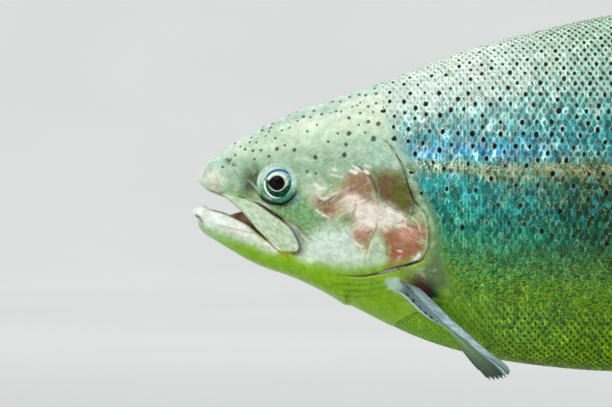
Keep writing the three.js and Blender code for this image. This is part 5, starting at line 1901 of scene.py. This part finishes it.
def make_eyes():
    material = eye_material()
    rings, around = 48, 64
    radii = np.array(EYE_RADII) * PERCENT
    for side, side_name in ((-1, "left"), (1, "right")):
        theta = np.linspace(0, math.pi * 0.62, rings)[:, None]
        phi = np.linspace(0, 2 * math.pi, around, endpoint=False)[None, :]
        dome = np.sin(theta)
        x = dome * np.cos(phi)
        z = dome * np.sin(phi)
        depth = np.cos(theta) + 0 * phi
        reach = np.hypot(x, z)
        facing = theta < math.pi / 2
        in_mm = reach * radii[0]
        # The pupil runs to a point toward the snout.
        from_point = np.angle(np.exp(1j * (phi - PUPIL_POINT)))
        pupil_edge = PUPIL_RADIUS * (
            1 + 0.14 * np.exp(-((from_point / 0.42) ** 2)) - 0.06 * np.abs(np.sin(phi))
        )
        pupil = smooth_step(0.18, -0.18, in_mm - pupil_edge) * facing
        bulge = 0.09 * np.clip(1 - (in_mm / PUPIL_RADIUS) ** 2, 0, 1) * facing
        dip = -0.06 * np.exp(-(((in_mm - 5.4) / 1.0) ** 2)) * facing
        points = np.stack([
            EYE_CENTRE[0] * PERCENT + x * radii[0] * 0.985,
            side * (-EYE_CENTRE[1] * PERCENT + (depth + bulge + dip) * radii[1]),
            EYE_CENTRE[2] * PERCENT + z * radii[2] * 0.985,
        ], -1)
        index = np.arange(rings * around).reshape(rings, around)
        a, b = index[:-1], index[1:]
        faces = np.stack([a, np.roll(a, -1, 1), np.roll(b, -1, 1), b], -1).reshape(-1, 4)
        if side > 0:
            faces = faces[:, ::-1]
        piece = new_mesh(f"eyeball_{side_name}", points.reshape(-1, 3), faces)
        flat = np.hypot(x * radii[0], z * radii[2] * 1.05)
        set_field(piece.data, "eye", np.stack([x * radii[0], z * radii[2], flat], -1).reshape(-1, 3))
        set_field(piece.data, "ring", np.hypot(x * radii[0] - 0.9, z * radii[2] + 0.45).ravel())
        set_field(piece.data, "pupil", pupil.ravel())
        piece.data.materials.append(material)
        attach(piece, "root")
        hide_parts(f"eye_{side_name}")


make_eyes()

# ---------------------------------------------------------------------------------------------------
# The stand, floor, lights and camera
# ---------------------------------------------------------------------------------------------------


def wood_material():
    n = Nodes("dark_wood")
    place = n.place()
    grain = n.noise(n.mapped(place, (6, 60, 60)), 3.0, 6, 0.65)
    colour = n.ramp(grain, [(0.3, rgb(52, 34, 24)), (0.55, rgb(84, 56, 38)), (0.75, rgb(112, 78, 52))])
    bump = n.bump(grain, 0.0004, 0.3)
    return n.finish(colour, n.range(grain, 0.3, 0.7, 0.3, 0.45), bump, Coat_Weight=0.3, Coat_Roughness=0.2)


def steel_material():
    n = Nodes("brushed_steel")
    place = n.place()
    lines = n.noise(n.mapped(place, (40, 40, 2500)), 1.0, 3)
    colour = n.mix(n.range(lines, 0.3, 0.7), rgb(150, 152, 154), rgb(196, 198, 200))
    return n.finish(colour, n.range(lines, 0.3, 0.7, 0.22, 0.4), n.bump(lines, 0.00005, 0.3), Metallic=1.0)


def finish_stand():
    wood, steel = wood_material(), steel_material()
    for name, material in (("stand_base", wood), ("stand_rod_front", steel), ("stand_rod_rear", steel)):
        node = frame["nodes"][name]
        node.data.materials.clear()
        node.data.materials.append(material)


def make_stage():
    floor = bpy.data.meshes.new("floor")
    near, far, wide, tall, bend = -7.0, 7.5, 8.0, 5.0, 2.0
    profile = [(near, 0.0), (far - bend, 0.0)]
    profile += [
        (far - bend + bend * math.sin(a), bend - bend * math.cos(a))
        for a in (math.radians(10 * i) for i in range(1, 10))
    ]
    profile.append((far, tall))
    points = [(x, y, z) for y, z in profile for x in (-wide, wide)]
    faces = [(2 * i, 2 * i + 1, 2 * i + 3, 2 * i + 2) for i in range(len(profile) - 1)]
    floor.from_pydata(points, [], faces)
    sweep = bpy.data.objects.new("floor", floor)
    bpy.context.scene.collection.objects.link(sweep)
    for polygon in floor.polygons:
        polygon.use_smooth = True
    n = Nodes("floor")
    place = n.place()
    tone = n.mix(n.noise(place, 2, 2), rgb(222, 224, 222), rgb(232, 233, 231))
    # The backdrop stands so far off that it has to glow to look as light as the floor.
    n.put(n.shader.inputs["Emission Color"], tone)
    n.put(n.shader.inputs["Emission Strength"], n.range(n.axes(place)[1], 0.6, 2.6, 0, 0.45))
    floor.materials.append(n.finish(tone, 0.8))


def area_light(name, place, target, size, watts):
    data = bpy.data.lights.new(name, "AREA")
    data.shape = "RECTANGLE"
    data.size, data.size_y = size
    data.energy = watts
    light = bpy.data.objects.new(name, data)
    light.location = place
    aim = Vector(target) - light.location
    light.rotation_euler = aim.to_track_quat("-Z", "Y").to_euler()
    bpy.context.scene.collection.objects.link(light)


def light_stage():
    area_light("key", (-0.6, -1.1, 1.9), (-0.08, 0, 0.17), (2.4, 1.8), 29)
    area_light("fill", (-1.2, -1.2, 0.25), (-0.1, 0, 0.17), (1.2, 0.8), 4)
    area_light("rim", (0.3, 1.0, 1.5), (0, 0, 0.17), (1.8, 1.0), 8)
    world_light = bpy.data.worlds.new("studio")
    world_light.use_nodes = True
    background = world_light.node_tree.nodes["Background"]
    background.inputs["Color"].default_value = rgb(238, 243, 246)
    background.inputs["Strength"].default_value = 0.42
    bpy.context.scene.world = world_light
    bpy.context.scene.view_settings.view_transform = "Standard"


CAMERA_PLACE = (-0.221, -1.4, 0.1725)
CAMERA_LENS = 181.35  # mm, over a sensor 36 mm wide


def place_camera():
    data = bpy.data.cameras.new("camera")
    data.sensor_width = 36
    data.lens = CAMERA_LENS
    camera = bpy.data.objects.new("camera", data)
    camera.location = CAMERA_PLACE
    camera.rotation_euler = (math.radians(90), 0, 0)
    bpy.context.scene.collection.objects.link(camera)
    bpy.context.scene.camera = camera


finish_stand()
make_stage()
light_stage()
place_camera()
